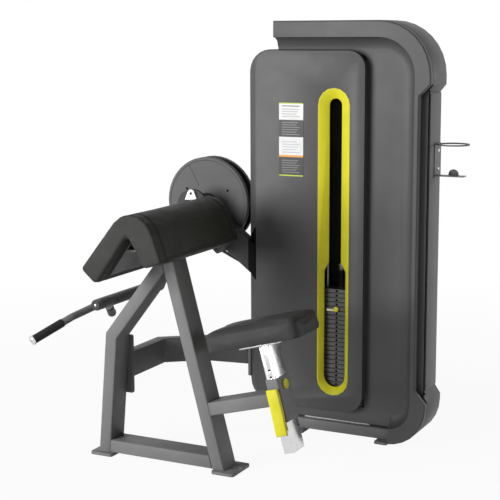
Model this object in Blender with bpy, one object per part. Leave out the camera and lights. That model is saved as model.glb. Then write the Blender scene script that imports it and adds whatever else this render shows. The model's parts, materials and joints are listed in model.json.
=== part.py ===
# Biceps curl machine: an A-frame with seat and arm pad, a curl lever with a
# belt drum, and a free-standing weight-stack tower. Metres, +Z up, the user
# faces -X and the A-frame's centre plane is y = 0 until the last step.
import math

import bmesh
import bpy
from mathutils import Matrix, Vector
from mathutils.geometry import tessellate_polygon

# Fits
GAP = 0.0003
ARC_STEPS = 4
ROUND = 24
DISC_STEPS = 40
SMALL_ROUND = 20
PIN_HOLE_STEPS = 6

# Finishes: colour, roughness, metallic
LOOKS = {
    "frame_grey": ((0.055, 0.055, 0.06), 0.42, 0.1),
    "cover_grey": ((0.12, 0.12, 0.125), 0.45, 0.0),
    "strip_light": ((0.35, 0.35, 0.36), 0.4, 0.0),
    "yellow": ((0.85, 0.72, 0.03), 0.4, 0.0),
    "chrome": ((0.8, 0.8, 0.82), 0.15, 1.0),
    "steel": ((0.5, 0.5, 0.5), 0.35, 1.0),
    "bright_casting": ((0.8, 0.8, 0.78), 0.45, 0.3),
    "black_rubber": ((0.015, 0.015, 0.015), 0.8, 0.0),
    "black_plastic": ((0.02, 0.02, 0.02), 0.5, 0.0),
    "pad_vinyl": ((0.02, 0.018, 0.017), 0.55, 0.0),
    "seat_vinyl": ((0.05, 0.05, 0.052), 0.55, 0.0),
}

# Frame tube: narrow side lies in the XZ plane, wide side along Y
TUBE_NARROW = 0.045
TUBE_WIDE = 0.090
TUBE_WALL = 0.003
TUBE_CORNER = 0.005

# A-frame
FOOT_THICK = 0.010
FOOT_HALF_Y = 0.065
FOOT_CORNER = 0.010
FOOT_HOLE = 0.006
FRONT_FOOT_X = (-0.459, -0.372)
REAR_FOOT_X = (0.021, 0.106)
FRONT_LEG_FOOT_X = -0.4115
FRONT_LEG_KNEE = (-0.375, 0.430)
FRONT_LEG_LEAN = math.radians(38.0)
REAR_LEG_FOOT_X = 0.039
REAR_LEG_LEAN = math.radians(14.9)
REAR_LEG_TOP = 0.765

# Seat, along a post that leans back by SEAT_TILT
SEAT_TILT = math.radians(15.0)
SEAT_POST_FOOT = (0.302, 0.1055)
SEAT_POST_SIZE = (0.038, 0.082)
SEAT_POST_LENGTH = 0.367
SEAT_HOLE_TOP = 0.280
SEAT_HOLE_PITCH = 0.0235
SEAT_HOLES = 7
SEAT_HOLE_RADIUS = 0.004
SLEEVE_SPAN = (0.103, 0.251)
SEAT_BEAM_HEIGHT = 0.1832
SEAT_PLATE_SIZE = (0.150, 0.160)
SEAT_PLATE_THICK = 0.006
SEAT_PAD_SIZE = (0.348, 0.205)
SEAT_PAD_SHIFT = -0.013
SEAT_PAD_THICK = 0.067
SEAT_PAD_CROWN = 0.008
SEAT_PAD_CORNER = 0.032
LOCK_SPAN = (0.060, 0.219)
LOCK_WIDTH = 0.038
LOCK_FRONT = -0.0625
LOCK_WALL = 0.0025
LOCK_PIVOT = 0.205
LOCK_KNEE = 0.140
LOCK_AXIS_OUT = 0.006
LOCK_PEG_HOLE = 5
LOCK_PIN_RADIUS = 0.003
CAP_HEIGHT = 0.223
CAP_RADIUS = 0.017
CAP_THICK = 0.006

# Arm pad, a roof-shaped cushion (x, z) drawn along y
PAD_HALF_Y = 0.270
PAD_PROFILE = (
    (-0.122, 0.981, 0.085),
    (-0.345, 0.704, 0.014),
    (-0.285, 0.652, 0.014),
    (-0.163, 0.822, 0.0),
    (-0.101, 0.718, 0.014),
    (-0.032, 0.742, 0.014),
)
PAD_FRAME_HALF_Y = 0.215
PAD_FRAME_THICK = 0.004
PAD_WEB_THICK = 0.005

# Link beam from the front leg to the tower
LINK_HEIGHT = 0.306
LINK_X = -0.3755
LINK_BENDS = ((-0.3755, 0.292, 0.306), (-0.2545, 0.413, 0.300))
LINK_TOWER = (-0.1153, 0.551, 0.268)
FLANGE_THICK = 0.010
FLANGE_HOLE = 0.012
LEG_FLANGE_Z = (0.207, 0.416)
LEG_FLANGE_X = (-0.421, -0.330)
TOWER_FLANGE_Y = (0.500, 0.596)
TOWER_FLANGE_Z = (0.185, 0.395)

# Lever about a pivot that runs along Y
PIVOT = (-0.309, 0.8294)
SHAFT_RADIUS = 0.0125
SHAFT_BEHIND_DRUM = 0.006
HUB_RADIUS = 0.028
HUB_LENGTH = 0.0417
HUB_CLEARANCE = 0.004
ARM_INSET = 0.0127
ARM_THICK = 0.012
CROSS = (-0.435, 0.532)
CROSS_RADIUS = 0.020
SPINDLE_RADIUS = 0.014
SPINDLE_TIP_RADIUS = 0.0067
YOKE_SLEEVE_Y = (-0.040, 0.045)
BUSH_THICK = 0.0057
BUSH_RADIUS = 0.0180
YOKE_RADIUS = 0.0127
YOKE_BEND_RADIUS = 0.050
YOKE_ROOT = (-0.452, 0.0, 0.525)
YOKE_BEND = (-0.486, 0.115, 0.500)
YOKE_TIP = (-0.556, 0.242, 0.440)
GRIP_RADIUS = 0.0150
GRIP_LENGTH = 0.120
GRIP_CAP_RADIUS = 0.0175
GRIP_CAP_THICK = 0.009

# Pivot bearing, housing and the beam into the tower
BEARING_DEEP = 0.0137
BEARING_FLANGE = 0.009
BEARING_BOLT = 0.047
BEARING_EAR = 0.014
BEARING_BOSS = 0.032
HOUSING_DEEP = 0.115
HOUSING_TO_DISC = 0.003
HOUSING_RADIUS = 0.062
HOUSING_PLATE = 0.012
HOUSING_BODY_RADIUS = 0.036
HOUSING_WALL = 0.006
BEAM_BEHIND_PANEL = 0.006
BEAM_TALL = 0.096
BEAM_START = (-0.179, 0.6965)
BEAM_SLOPE = math.atan2(-0.604, 0.797)
BEAM_END_X = 0.060
BEAM_FLANGE = 0.008
BEAM_FLANGE_LIP = 0.0024

# Belt drum beside the tower
DRUM_RADIUS = 0.150
DISC_RADIUS = 0.170
DRUM_WIDE = 0.031
FRONT_DISC_THICK = 0.020
REAR_DISC_THICK = 0.017
DISC_SCREW_CIRCLE = 0.099
DISC_SCREW_ANGLES = (29.0, 151.0, 270.0)
DISC_RING = 0.158

# Tower covers
COVER_FRONT = 0.475
COVER_DEEP = 0.170
COVER_SEAM = 0.025
SEAM_HALF = 0.0015
FLOOR_SUNK = 0.045
SHEET = 0.003
TOWER_X = (-0.003, 0.585)
TOWER_Z = (0.004, 1.500)
HOOP_FOOT_X = 0.444
CORNER_TOP = 0.190
CORNER_BOTTOM = 0.145
BAND = 0.057
COVE_WIDE = 0.042
NOTCH = ((0.165, 0.585), (0.210, 0.5445), (1.245, 0.5445), (1.285, 0.585))
SIDE_RECESS = ((0.170, 0.585), (0.200, 0.565), (1.255, 0.565), (1.280, 0.585))
STRIP_GAP = 0.053
STRIP_FRONT_SUNK = 0.037
STRIP_FRONT_WIDE = 0.020
STRIP_REACH = (0.020, 0.016)
FLOOR_LOW = 0.056
WINDOW_X = 0.3385
WINDOW_Z = (0.115, 1.385)
PANEL_X = (-0.110, 0.347)
PANEL_Z = (0.098, 1.400)
PANEL_RISE = 0.033
PANEL_CORNER = 0.080
CHAMFER_X = -0.082
CHAMFER_DEEP = 0.018
BAY_OPENING_Z = (0.551, 0.801)
BAY_WIDE_Y = 0.090
GLAND_FRONT_Z = (0.557, 0.758)
GLAND_REAR_Z = (0.578, 0.722)
GLAND_BEHIND_FLOOR = 0.020

# Stack window
STACK_X = 0.2275
STACK_SUNK = 0.0985
SLOT_OUTER = 0.0605
SLOT_OUTER_Z = (0.156, 1.267)
SLOT_INNER_Z = (0.183, 1.230)
SLOT_NARROW = 0.0235
SLOT_WIDE = 0.041
SLOT_STEP_Z = (0.612, 0.644)
SLOT_DEEP = 0.018

# Weight stack
PLATE_HALF_X = 0.105
PLATE_HALF_Y = 0.0495
PLATE_PITCH = 0.0165
PLATE_GROOVE = 0.0025
PLATE_GROOVE_DEPTH = 0.003
PLATES = 27
LIFTED = 5
STACK_FOOT = 0.0995
ROD_OFFSET = 0.057
ROD_RADIUS = 0.010
ROD_CLEARANCE = 0.0008
STEM_RADIUS = 0.012
STEM_SPAN = (0.110, 0.633)
STEM_HEAD = 0.018
PIN_RADIUS = 0.004
PIN_HOLE = 0.005
PIN_COLLAR = 0.010
PIN_BAR = 0.0045
PIN_BAR_X = (-0.034, 0.008)
BUFFER_RADIUS = 0.018

# Frame inside the tower
INNER_TUBE = 0.040
BASE_X = (0.000, 0.4430)
BASE_FOOT_LEFT = (0.020, 0.115)
BASE_FOOT_RIGHT = (0.396, 0.4430)
BASE_BEHIND_FRONT = 0.030
LEFT_UPRIGHT_X = 0.020
RIGHT_UPRIGHT_X = 0.400
STACK_BASE_X = (0.100, 0.360)
STACK_BASE_THICK = 0.008
STACK_BASE_BEHIND_FLOOR = 0.0045
UPRIGHT_TOP = 1.2597
TOP_BEAM_Z = (1.260, 1.380)
ROD_PLATE = 0.010
ROD_PLATE_X = (0.150, 0.305)
ROD_PLATE_FRONT = 0.0285

# Pulleys and belt
PULLEY_RADIUS = 0.050
PULLEY_GROOVE = 0.045
PULLEY_BORE = 0.0063
PULLEY_WIDE = 0.0285
PULLEY_LOW = (-0.040, 0.5912)
PULLEY_TOP_Z = 1.355
BELT_THICK = 0.003
BELT_CLEARANCE = 0.0009
BELT_WIDE = 0.024
BELT_ANCHOR = math.radians(205.0)

# Cup holder
CUP_RING_Z = 1.074
CUP_RADIUS = 0.0535
CUP_ROD = 0.003
CUP_CENTRE = (0.630, 0.600)
CUP_BRACKET_Z = (0.959, 1.078)
CUP_BRACKET_Y = (0.573, 0.640)
CUP_BOLT_Z = (0.987, 1.049)
CUP_BOLT_Y = 0.610
CUP_BOLT_HOLE = 0.0035
CUP_TAB_HALF = 0.016
CUP_TAB_THICK = 0.0024
CUP_SHELF_HALF = 0.019
CUP_SHELF_SHORT = 0.012

# Along Y the tower's sheets follow its front edge, and the pivot's pieces follow the belt
SEAM_Y = (COVER_FRONT + COVER_SEAM - SEAM_HALF, COVER_FRONT + COVER_SEAM + SEAM_HALF)
FLOOR_Y = COVER_FRONT + FLOOR_SUNK
COVER_BACK = COVER_FRONT + COVER_DEEP
COVER_INSIDE = COVER_BACK - SHEET - GAP
FRAME_FRONT = COVER_INSIDE - INNER_TUBE
STRIP_GAP_Y = COVER_FRONT + STRIP_GAP
PANEL_FRONT = FLOOR_Y - PANEL_RISE
CHAMFER_Y = PANEL_FRONT + CHAMFER_DEEP
GLAND_BACK = FLOOR_Y + GLAND_BEHIND_FLOOR
SLOT_DEPTH_Y = PANEL_FRONT + SLOT_DEEP
STACK_Y = COVER_FRONT + STACK_SUNK
BASE_FRONT_Y = COVER_FRONT + BASE_BEHIND_FRONT
STACK_BASE_FRONT = FLOOR_Y + STACK_BASE_BEHIND_FLOOR
ROD_PLATE_Y = STACK_Y - ROD_PLATE_FRONT
DRUM_FRONT = STACK_Y - DRUM_WIDE / 2
DRUM_BACK = STACK_Y + DRUM_WIDE / 2
FRONT_DISC_Y = (DRUM_FRONT - FRONT_DISC_THICK, DRUM_FRONT)
REAR_DISC_Y = (DRUM_BACK, DRUM_BACK + REAR_DISC_THICK)
HOUSING_BACK = FRONT_DISC_Y[0] - HOUSING_TO_DISC
HOUSING_Y = (HOUSING_BACK - HOUSING_DEEP, HOUSING_BACK)
BEAM_Y = (PANEL_FRONT + BEAM_BEHIND_PANEL, HOUSING_BACK)
BEARING_BACK = HOUSING_Y[0] - GAP
BEARING_Y = (BEARING_BACK - BEARING_DEEP, BEARING_BACK)
HUB_BACK = BEARING_Y[0] - HUB_CLEARANCE
HUB_SPAN = (HUB_BACK - HUB_LENGTH, HUB_BACK)
ARM_SPAN = (HUB_SPAN[0] + ARM_INSET, HUB_SPAN[0] + ARM_INSET + ARM_THICK)
SHAFT_SPAN = (HUB_SPAN[0], REAR_DISC_Y[1] + SHAFT_BEHIND_DRUM)

for start_object in list(bpy.data.objects):
    bpy.data.objects.remove(start_object)
root = bpy.data.objects.new("machine_root", None)
bpy.context.collection.objects.link(root)


# Loops and paths in two or three dimensions

def circle(centre_a, centre_b, radius, steps=ROUND, start=0.0):
    loop = []
    for step in range(steps):
        angle = start + 2.0 * math.pi * step / steps
        loop.append((centre_a + radius * math.cos(angle), centre_b + radius * math.sin(angle)))
    return loop


def arc(centre, radius, first, last, steps):
    points = []
    for step in range(steps + 1):
        angle = first + (last - first) * step / steps
        points.append((centre[0] + radius * math.cos(angle), centre[1] + radius * math.sin(angle)))
    return points


def rounded(corners, steps=ARC_STEPS, closed=True):
    """Corners are (a, b, radius); each becomes an arc of that radius."""
    count = len(corners)
    loop = []
    for index, (a, b, radius) in enumerate(corners):
        at_end = not closed and index in (0, count - 1)
        if radius == 0.0 or at_end:
            loop.append((a, b))
            continue
        here = Vector((a, b))
        back = (Vector(corners[index - 1][:2]) - here).normalized()
        ahead = (Vector(corners[(index + 1) % count][:2]) - here).normalized()
        half = back.angle(ahead) / 2.0
        centre = here + (back + ahead).normalized() * (radius / math.sin(half))
        first = here + back * (radius / math.tan(half)) - centre
        last = here + ahead * (radius / math.tan(half)) - centre
        start = math.atan2(first.y, first.x)
        turn = math.atan2(first.x * last.y - first.y * last.x, first.dot(last))
        loop += arc(centre, radius, start, start + turn, steps)
    return loop


def rounded_box(a0, a1, b0, b1, radius, steps=ARC_STEPS):
    corners = ((a0, b0, radius), (a1, b0, radius), (a1, b1, radius), (a0, b1, radius))
    return rounded(corners, steps)


def bent(points, radius, steps=6):
    """A 3-D path with each inner point replaced by an arc."""
    path = [Vector(points[0])]
    for index in range(1, len(points) - 1):
        here = Vector(points[index])
        back = (Vector(points[index - 1]) - here).normalized()
        ahead = (Vector(points[index + 1]) - here).normalized()
        half = back.angle(ahead) / 2.0
        centre = here + (back + ahead).normalized() * (radius / math.sin(half))
        first = (here + back * (radius / math.tan(half)) - centre).normalized()
        last = (here + ahead * (radius / math.tan(half)) - centre).normalized()
        for step in range(steps + 1):
            path.append(centre + first.slerp(last, step / steps) * radius)
    path.append(Vector(points[-1]))
    return path


def offset_loop(loop, distance):
    """Moves a closed loop along its own normals, inwards for a positive distance."""
    area = 0.0
    count = len(loop)
    for index in range(count):
        a0, b0 = loop[index - 1]
        a1, b1 = loop[index]
        area += a0 * b1 - a1 * b0
    side = 1.0 if area > 0 else -1.0
    moved = []
    for index in range(count):
        here = Vector(loop[index])
        before = (here - Vector(loop[index - 1])).normalized()
        after = (Vector(loop[(index + 1) % count]) - here).normalized()
        tangent = (before + after).normalized()
        normal = Vector((-tangent.y, tangent.x)) * side
        stretch = max(0.5, normal.dot(Vector((-before.y, before.x)) * side))
        moved.append(tuple(here + normal * (distance / stretch)))
    return moved


# Planes: local (a, b, t) to world

FLAT = Matrix.Identity(4)
UPRIGHT = Matrix(((1, 0, 0, 0), (0, 0, 1, 0), (0, 1, 0, 0), (0, 0, 0, 1)))
SIDEWAYS = Matrix(((0, 0, 1, 0), (1, 0, 0, 0), (0, 1, 0, 0), (0, 0, 0, 1)))
SEAT_ALONG = Vector((math.cos(SEAT_TILT), 0.0, math.sin(SEAT_TILT)))
SEAT_UP = Vector((-math.sin(SEAT_TILT), 0.0, math.cos(SEAT_TILT)))
SEAT = Matrix((
    (SEAT_ALONG.x, 0, SEAT_UP.x, SEAT_POST_FOOT[0]),
    (0, 1, 0, 0),
    (SEAT_ALONG.z, 0, SEAT_UP.z, SEAT_POST_FOOT[1]),
    (0, 0, 0, 1),
))


# Bodies

def finish_mesh(body, outward=None):
    """Makes the normals agree; on an open sheet the largest face looks along outward."""
    work = bmesh.new()
    work.from_mesh(body.data)
    bmesh.ops.recalc_face_normals(work, faces=work.faces)
    if outward is not None:
        largest = max(work.faces, key=lambda face: face.calc_area())
        largest.normal_update()
        if largest.normal.dot(Vector(outward)) < 0:
            bmesh.ops.reverse_faces(work, faces=work.faces)
    work.to_mesh(body.data)
    work.free()


def body_of(name, points, faces, look, smooth=False, outward=None):
    mesh = bpy.data.meshes.new(name)
    mesh.from_pydata([tuple(point) for point in points], [], faces)
    body = bpy.data.objects.new(name, mesh)
    bpy.context.collection.objects.link(body)
    body.parent = root
    finish_mesh(body, outward)
    if smooth:
        body.data.shade_smooth()
        body.data.set_sharp_from_angle(angle=math.radians(30.0))
    if look is None:
        body.hide_render = True
        body.display_type = "WIRE"
        return body
    colour, roughness, metallic = LOOKS[look]
    material = bpy.data.materials.new(name + "_finish")
    material.use_nodes = True
    shader = material.node_tree.nodes["Principled BSDF"]
    shader.inputs["Base Color"].default_value = (*colour, 1.0)
    shader.inputs["Roughness"].default_value = roughness
    shader.inputs["Metallic"].default_value = metallic
    body.data.materials.append(material)
    return body


def loft(name, rings, look, caps=True, closed=False, smooth=False, outward=None, rim=True):
    """Joins rings of equal length; rim tells whether each ring closes on itself."""
    size = len(rings[0])
    points = [point for ring in rings for point in ring]
    faces = []
    spans = len(rings) if closed else len(rings) - 1
    for span in range(spans):
        low = span * size
        high = ((span + 1) % len(rings)) * size
        for index in range(size if rim else size - 1):
            after = (index + 1) % size
            faces.append((low + index, low + after, high + after, high + index))
    if caps and not closed:
        faces.append(tuple(range(size)))
        faces.append(tuple(range(len(points) - size, len(points))))
    return body_of(name, points, faces, look, smooth, outward)


def plate(name, plane, outline, low, high, look, holes=(), smooth=False):
    """An outline with holes drawn out along the plane's third axis."""
    loops = [list(outline)] + [list(hole) for hole in holes]
    flat = [[Vector((a, b, 0.0)) for a, b in loop] for loop in loops]
    triangles = tessellate_polygon(flat)
    corners = [point for loop in loops for point in loop]
    count = len(corners)
    points = [plane @ Vector((a, b, low)) for a, b in corners]
    points += [plane @ Vector((a, b, high)) for a, b in corners]
    faces = []
    if len(loops) == 1:
        faces.append(tuple(range(count)))
        faces.append(tuple(range(count, 2 * count)))
    else:
        for triangle in triangles:
            faces.append(tuple(triangle))
            faces.append(tuple(count + corner for corner in triangle))
    start = 0
    for loop in loops:
        for index in range(len(loop)):
            here = start + index
            after = start + (index + 1) % len(loop)
            faces.append((here, after, count + after, count + here))
        start += len(loop)
    return body_of(name, points, faces, look, smooth)


def turned(name, axis_point, axis, profile, look, steps=ROUND, smooth=True):
    """Revolves a closed profile of (radius, height) about an axis."""
    axis = Vector(axis).normalized()
    side = Vector((0, 0, 1)) if abs(axis.z) < 0.9 else Vector((1, 0, 0))
    side = (side - axis * side.dot(axis)).normalized()
    other = axis.cross(side)
    centre = Vector(axis_point)
    points = []
    rows = []
    for radius, height in profile:
        if radius == 0.0:
            rows.append([len(points)] * steps)
            points.append(centre + axis * height)
            continue
        rows.append(list(range(len(points), len(points) + steps)))
        for step in range(steps):
            angle = 2.0 * math.pi * step / steps
            reach = side * math.cos(angle) + other * math.sin(angle)
            points.append(centre + axis * height + reach * radius)
    faces = []
    for index, row in enumerate(rows):
        after_row = rows[(index + 1) % len(rows)]
        for step in range(steps):
            after = (step + 1) % steps
            corners = [row[step], row[after], after_row[after], after_row[step]]
            distinct = list(dict.fromkeys(corners))
            if len(distinct) > 2:
                faces.append(tuple(distinct))
    return body_of(name, points, faces, look, smooth)


def swept(name, path, section, look, side=(0, 1, 0), cuts=(None, None), hole=None, smooth=False):
    """Draws a section along a path with mitred corners; the section's first
    coordinate lies along side, and a hole makes an open tube of it."""
    path = [Vector(point) for point in path]
    leads = [(after - here).normalized() for here, after in zip(path, path[1:])]
    first_side = Vector(side)
    across = (first_side - leads[0] * first_side.dot(leads[0])).normalized()
    rings = []
    holes = []
    for index, here in enumerate(path):
        lead = leads[max(0, index - 1)]
        if 0 < index < len(leads):
            normal = (lead + leads[index]).normalized()
        else:
            chosen = cuts[0] if index == 0 else cuts[1]
            normal = Vector(chosen) if chosen else lead
        up = lead.cross(across)
        for loop, store in ((section, rings), (hole or (), holes)):
            ring = []
            for a, b in loop:
                point = here + across * a + up * b
                slide = (here - point).dot(normal) / lead.dot(normal)
                ring.append(point + lead * slide)
            store.append(ring)
        if 0 < index < len(leads):
            turn = lead.rotation_difference(leads[index])
            across = turn @ across
    if hole is None:
        return loft(name, rings, look, smooth=smooth)
    size = len(section)
    points = [point for ring in rings for point in ring]
    inner = len(points)
    points += [point for ring in holes for point in ring]
    faces = []
    for span in range(len(path) - 1):
        for start in (0, inner):
            for index in range(size):
                after = (index + 1) % size
                low = start + span * size
                faces.append((low + index, low + after, low + size + after, low + size + index))
    for row in (0, (len(path) - 1) * size):
        for index in range(size):
            after = (index + 1) % size
            faces.append((row + index, row + after, inner + row + after, inner + row + index))
    return body_of(name, points, faces, look, smooth)


def combine(body, tool, operation):
    """Cuts with, or joins, a helper body that stays hidden."""
    step = body.modifiers.new(operation.lower() + "_" + tool.name, "BOOLEAN")
    step.operation = operation
    step.solver = "EXACT"
    step.object = tool


def cut(body, tool):
    combine(body, tool, "DIFFERENCE")


def join(body, tool):
    combine(body, tool, "UNION")


def thicken(body, thickness):
    step = body.modifiers.new("sheet", "SOLIDIFY")
    step.thickness = thickness
    step.offset = -1.0
    step.use_even_offset = True
    step.use_quality_normals = True


def tube_section(wide, narrow, corner):
    return rounded_box(-wide / 2, wide / 2, -narrow / 2, narrow / 2, corner, 3)


def box_tool(name, x_span, y_span, z_span):
    outline = rounded_box(x_span[0], x_span[1], y_span[0], y_span[1], 0.0)
    return plate(name, FLAT, outline, z_span[0], z_span[1], None)


def rod_tool(name, start, axis, radius, length, steps=16):
    return turned(name, start, axis, ((0, 0), (radius, 0), (radius, length), (0, length)), None, steps)


FRAME_SECTION = tube_section(TUBE_WIDE, TUBE_NARROW, TUBE_CORNER)
FRAME_HOLE = tube_section(
    TUBE_WIDE - 2 * TUBE_WALL, TUBE_NARROW - 2 * TUBE_WALL, TUBE_CORNER - TUBE_WALL
)


# A-frame

def direction_of(lean):
    return Vector((math.sin(lean), 0.0, math.cos(lean)))


rear_up = direction_of(-REAR_LEG_LEAN)
rear_left = Vector((-rear_up.z, 0.0, rear_up.x))
rear_foot_point = Vector((REAR_LEG_FOOT_X, 0.0, FOOT_THICK + GAP))
rear_left_face = rear_foot_point + rear_left * (TUBE_NARROW / 2 + GAP)
rear_right_face = rear_foot_point - rear_left * (TUBE_NARROW / 2 + GAP)


def reach_plane(start, lead, face_point, face_normal):
    """Where a line from start along lead meets a plane."""
    start = Vector(start)
    lead = Vector(lead)
    distance = (face_point - start).dot(face_normal) / lead.dot(face_normal)
    return start + lead * distance


def rear_leg_at(height):
    return rear_foot_point + rear_up * ((height - rear_foot_point.z) / rear_up.z)


def build_a_frame():
    foot_point = Vector((FRONT_LEG_FOOT_X, 0.0, FOOT_THICK + GAP))
    knee = Vector((FRONT_LEG_KNEE[0], 0.0, FRONT_LEG_KNEE[1]))
    lean = direction_of(FRONT_LEG_LEAN)
    top = reach_plane(knee, lean, rear_left_face, rear_left)
    path = (foot_point, knee, top)
    ends = ((0, 0, 1), rear_left)
    swept("front_leg", path, FRAME_SECTION, "frame_grey", cuts=ends, hole=FRAME_HOLE)

    leg_top = rear_leg_at(REAR_LEG_TOP)
    ends = ((0, 0, 1), (0, 0, 1))
    swept("rear_leg", (rear_foot_point, leg_top), FRAME_SECTION, "frame_grey", cuts=ends, hole=FRAME_HOLE)

    front_up = (knee - foot_point).normalized()
    front_right = Vector((front_up.z, 0.0, -front_up.x))
    front_face = foot_point + front_right * (TUBE_NARROW / 2 + GAP)
    middle = Vector((0.0, 0.0, FOOT_THICK + GAP + TUBE_NARROW / 2))
    start = reach_plane(middle, (1, 0, 0), front_face, front_right)
    end = reach_plane(middle, (1, 0, 0), rear_left_face, rear_left)
    ends = (front_right, rear_left)
    swept("low_beam", (start, end), FRAME_SECTION, "frame_grey", cuts=ends, hole=FRAME_HOLE)

    for name, span, hole_x in (
        ("front_foot", FRONT_FOOT_X, FRONT_FOOT_X[0] + 0.014),
        ("rear_foot", REAR_FOOT_X, REAR_FOOT_X[1] - 0.014),
    ):
        outline = rounded_box(span[0], span[1], -FOOT_HALF_Y, FOOT_HALF_Y, FOOT_CORNER)
        hole = circle(hole_x, 0.0, FOOT_HOLE, 16)
        plate(name, FLAT, outline, 0.0, FOOT_THICK, "frame_grey", holes=(hole,))


# Seat

def build_seat_support():
    beam_point = SEAT @ Vector((0.0, 0.0, SEAT_BEAM_HEIGHT))
    start = reach_plane(beam_point, SEAT_ALONG, rear_right_face, rear_left)
    end = SEAT @ Vector((-TUBE_NARROW / 2 - GAP, 0.0, SEAT_BEAM_HEIGHT))
    ends = (rear_left, SEAT_ALONG)
    swept("seat_beam", (start, end), FRAME_SECTION, "frame_grey", cuts=ends, hole=FRAME_HOLE)

    wide = TUBE_WIDE / 2
    narrow = TUBE_NARROW / 2
    outline = rounded_box(-narrow, narrow, -wide, wide, TUBE_CORNER, 3)
    inner = TUBE_WALL
    corner = TUBE_CORNER - inner
    hollow = rounded_box(-narrow + inner, narrow - inner, -wide + inner, wide - inner, corner, 3)
    sleeve = plate("seat_sleeve", SEAT, outline, *SLEEVE_SPAN, "frame_grey", holes=(hollow,))
    # Ear that the lock lever swings on, with its bore along the slope
    ear_half = LOCK_WIDTH / 2 - LOCK_WALL - 0.0015
    ear = rounded_box(-wide - 0.0125, -wide + 0.0015, LOCK_PIVOT - 0.007, LOCK_PIVOT + 0.007, 0.003, 3)
    ear_plane = SEAT @ SIDEWAYS
    bore = circle(-wide - LOCK_AXIS_OUT, LOCK_PIVOT, LOCK_PIN_RADIUS + GAP, 16)
    ear_body = plate("sleeve_ear", ear_plane, ear, -ear_half, ear_half, None, holes=(bore,))
    join(sleeve, ear_body)
    hole_height = SEAT_HOLE_TOP - LOCK_PEG_HOLE * SEAT_HOLE_PITCH
    hole_start = SEAT @ Vector((0.0, -wide - 0.004, hole_height))
    cut(sleeve, rod_tool("sleeve_hole_tool", hole_start, (0, 1, 0), 0.0055, 0.012))

    cap_at = SEAT @ Vector((narrow + GAP, 0.0, CAP_HEIGHT))
    profile = (
        (0, 0), (CAP_RADIUS, 0), (CAP_RADIUS, CAP_THICK - 0.0015), (CAP_RADIUS - 0.0015, CAP_THICK),
        (CAP_RADIUS - 0.005, CAP_THICK), (CAP_RADIUS - 0.0065, CAP_THICK - 0.002), (0, CAP_THICK - 0.002),
    )
    turned("sleeve_cap", cap_at, SEAT_ALONG, profile, "yellow")


def build_seat():
    half_a = SEAT_POST_SIZE[0] / 2
    half_b = SEAT_POST_SIZE[1] / 2
    outline = rounded_box(-half_a, half_a, -half_b, half_b, 0.004, 3)
    wall = TUBE_WALL
    hollow = rounded_box(-half_a + wall, half_a - wall, -half_b + wall, half_b - wall, 0.001, 3)
    post = plate("seat_post", SEAT, outline, 0.0, SEAT_POST_LENGTH, "chrome", holes=(hollow,))
    for index in range(SEAT_HOLES):
        height = SEAT_HOLE_TOP - index * SEAT_HOLE_PITCH
        start = SEAT @ Vector((0.0, -half_b - 0.002, height))
        cut(post, rod_tool("post_hole_tool_%d" % index, start, (0, 1, 0), SEAT_HOLE_RADIUS, 0.008))

    low = SEAT_POST_LENGTH + GAP
    high = low + SEAT_PLATE_THICK
    long, broad = SEAT_PLATE_SIZE
    outline = rounded_box(-long / 2, long / 2, -broad / 2, broad / 2, 0.012)
    plate("seat_plate", SEAT, outline, low, high, "steel")
    seat_cushion(high + GAP)


def seat_cushion(base):
    long, broad = SEAT_PAD_SIZE
    outline = rounded_box(-long / 2, long / 2, -broad / 2, broad / 2, SEAT_PAD_CORNER, 5)
    thick = SEAT_PAD_THICK
    shift = Vector((SEAT_PAD_SHIFT, 0.0, 0.0))
    steps = (
        (0.007, 0.0), (0.002, 0.003), (0.0, 0.010), (0.0, thick * 0.55), (0.0005, thick - 0.012),
        (0.003, thick - 0.005), (0.009, thick - 0.001), (0.020, thick),
    )
    rings = []
    for inset, height in steps:
        loop = offset_loop(outline, inset)
        rings.append([SEAT @ (Vector((a, b, base + height)) + shift) for a, b in loop])
    inner = offset_loop(outline, steps[-1][0])
    for share in (0.75, 0.5, 0.25):
        height = base + thick + SEAT_PAD_CROWN * (1.0 - share * share)
        rings.append([SEAT @ (Vector((a * share, b * share, height)) + shift) for a, b in inner])
    loft("seat_pad", rings, "seat_vinyl", smooth=True)


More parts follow.
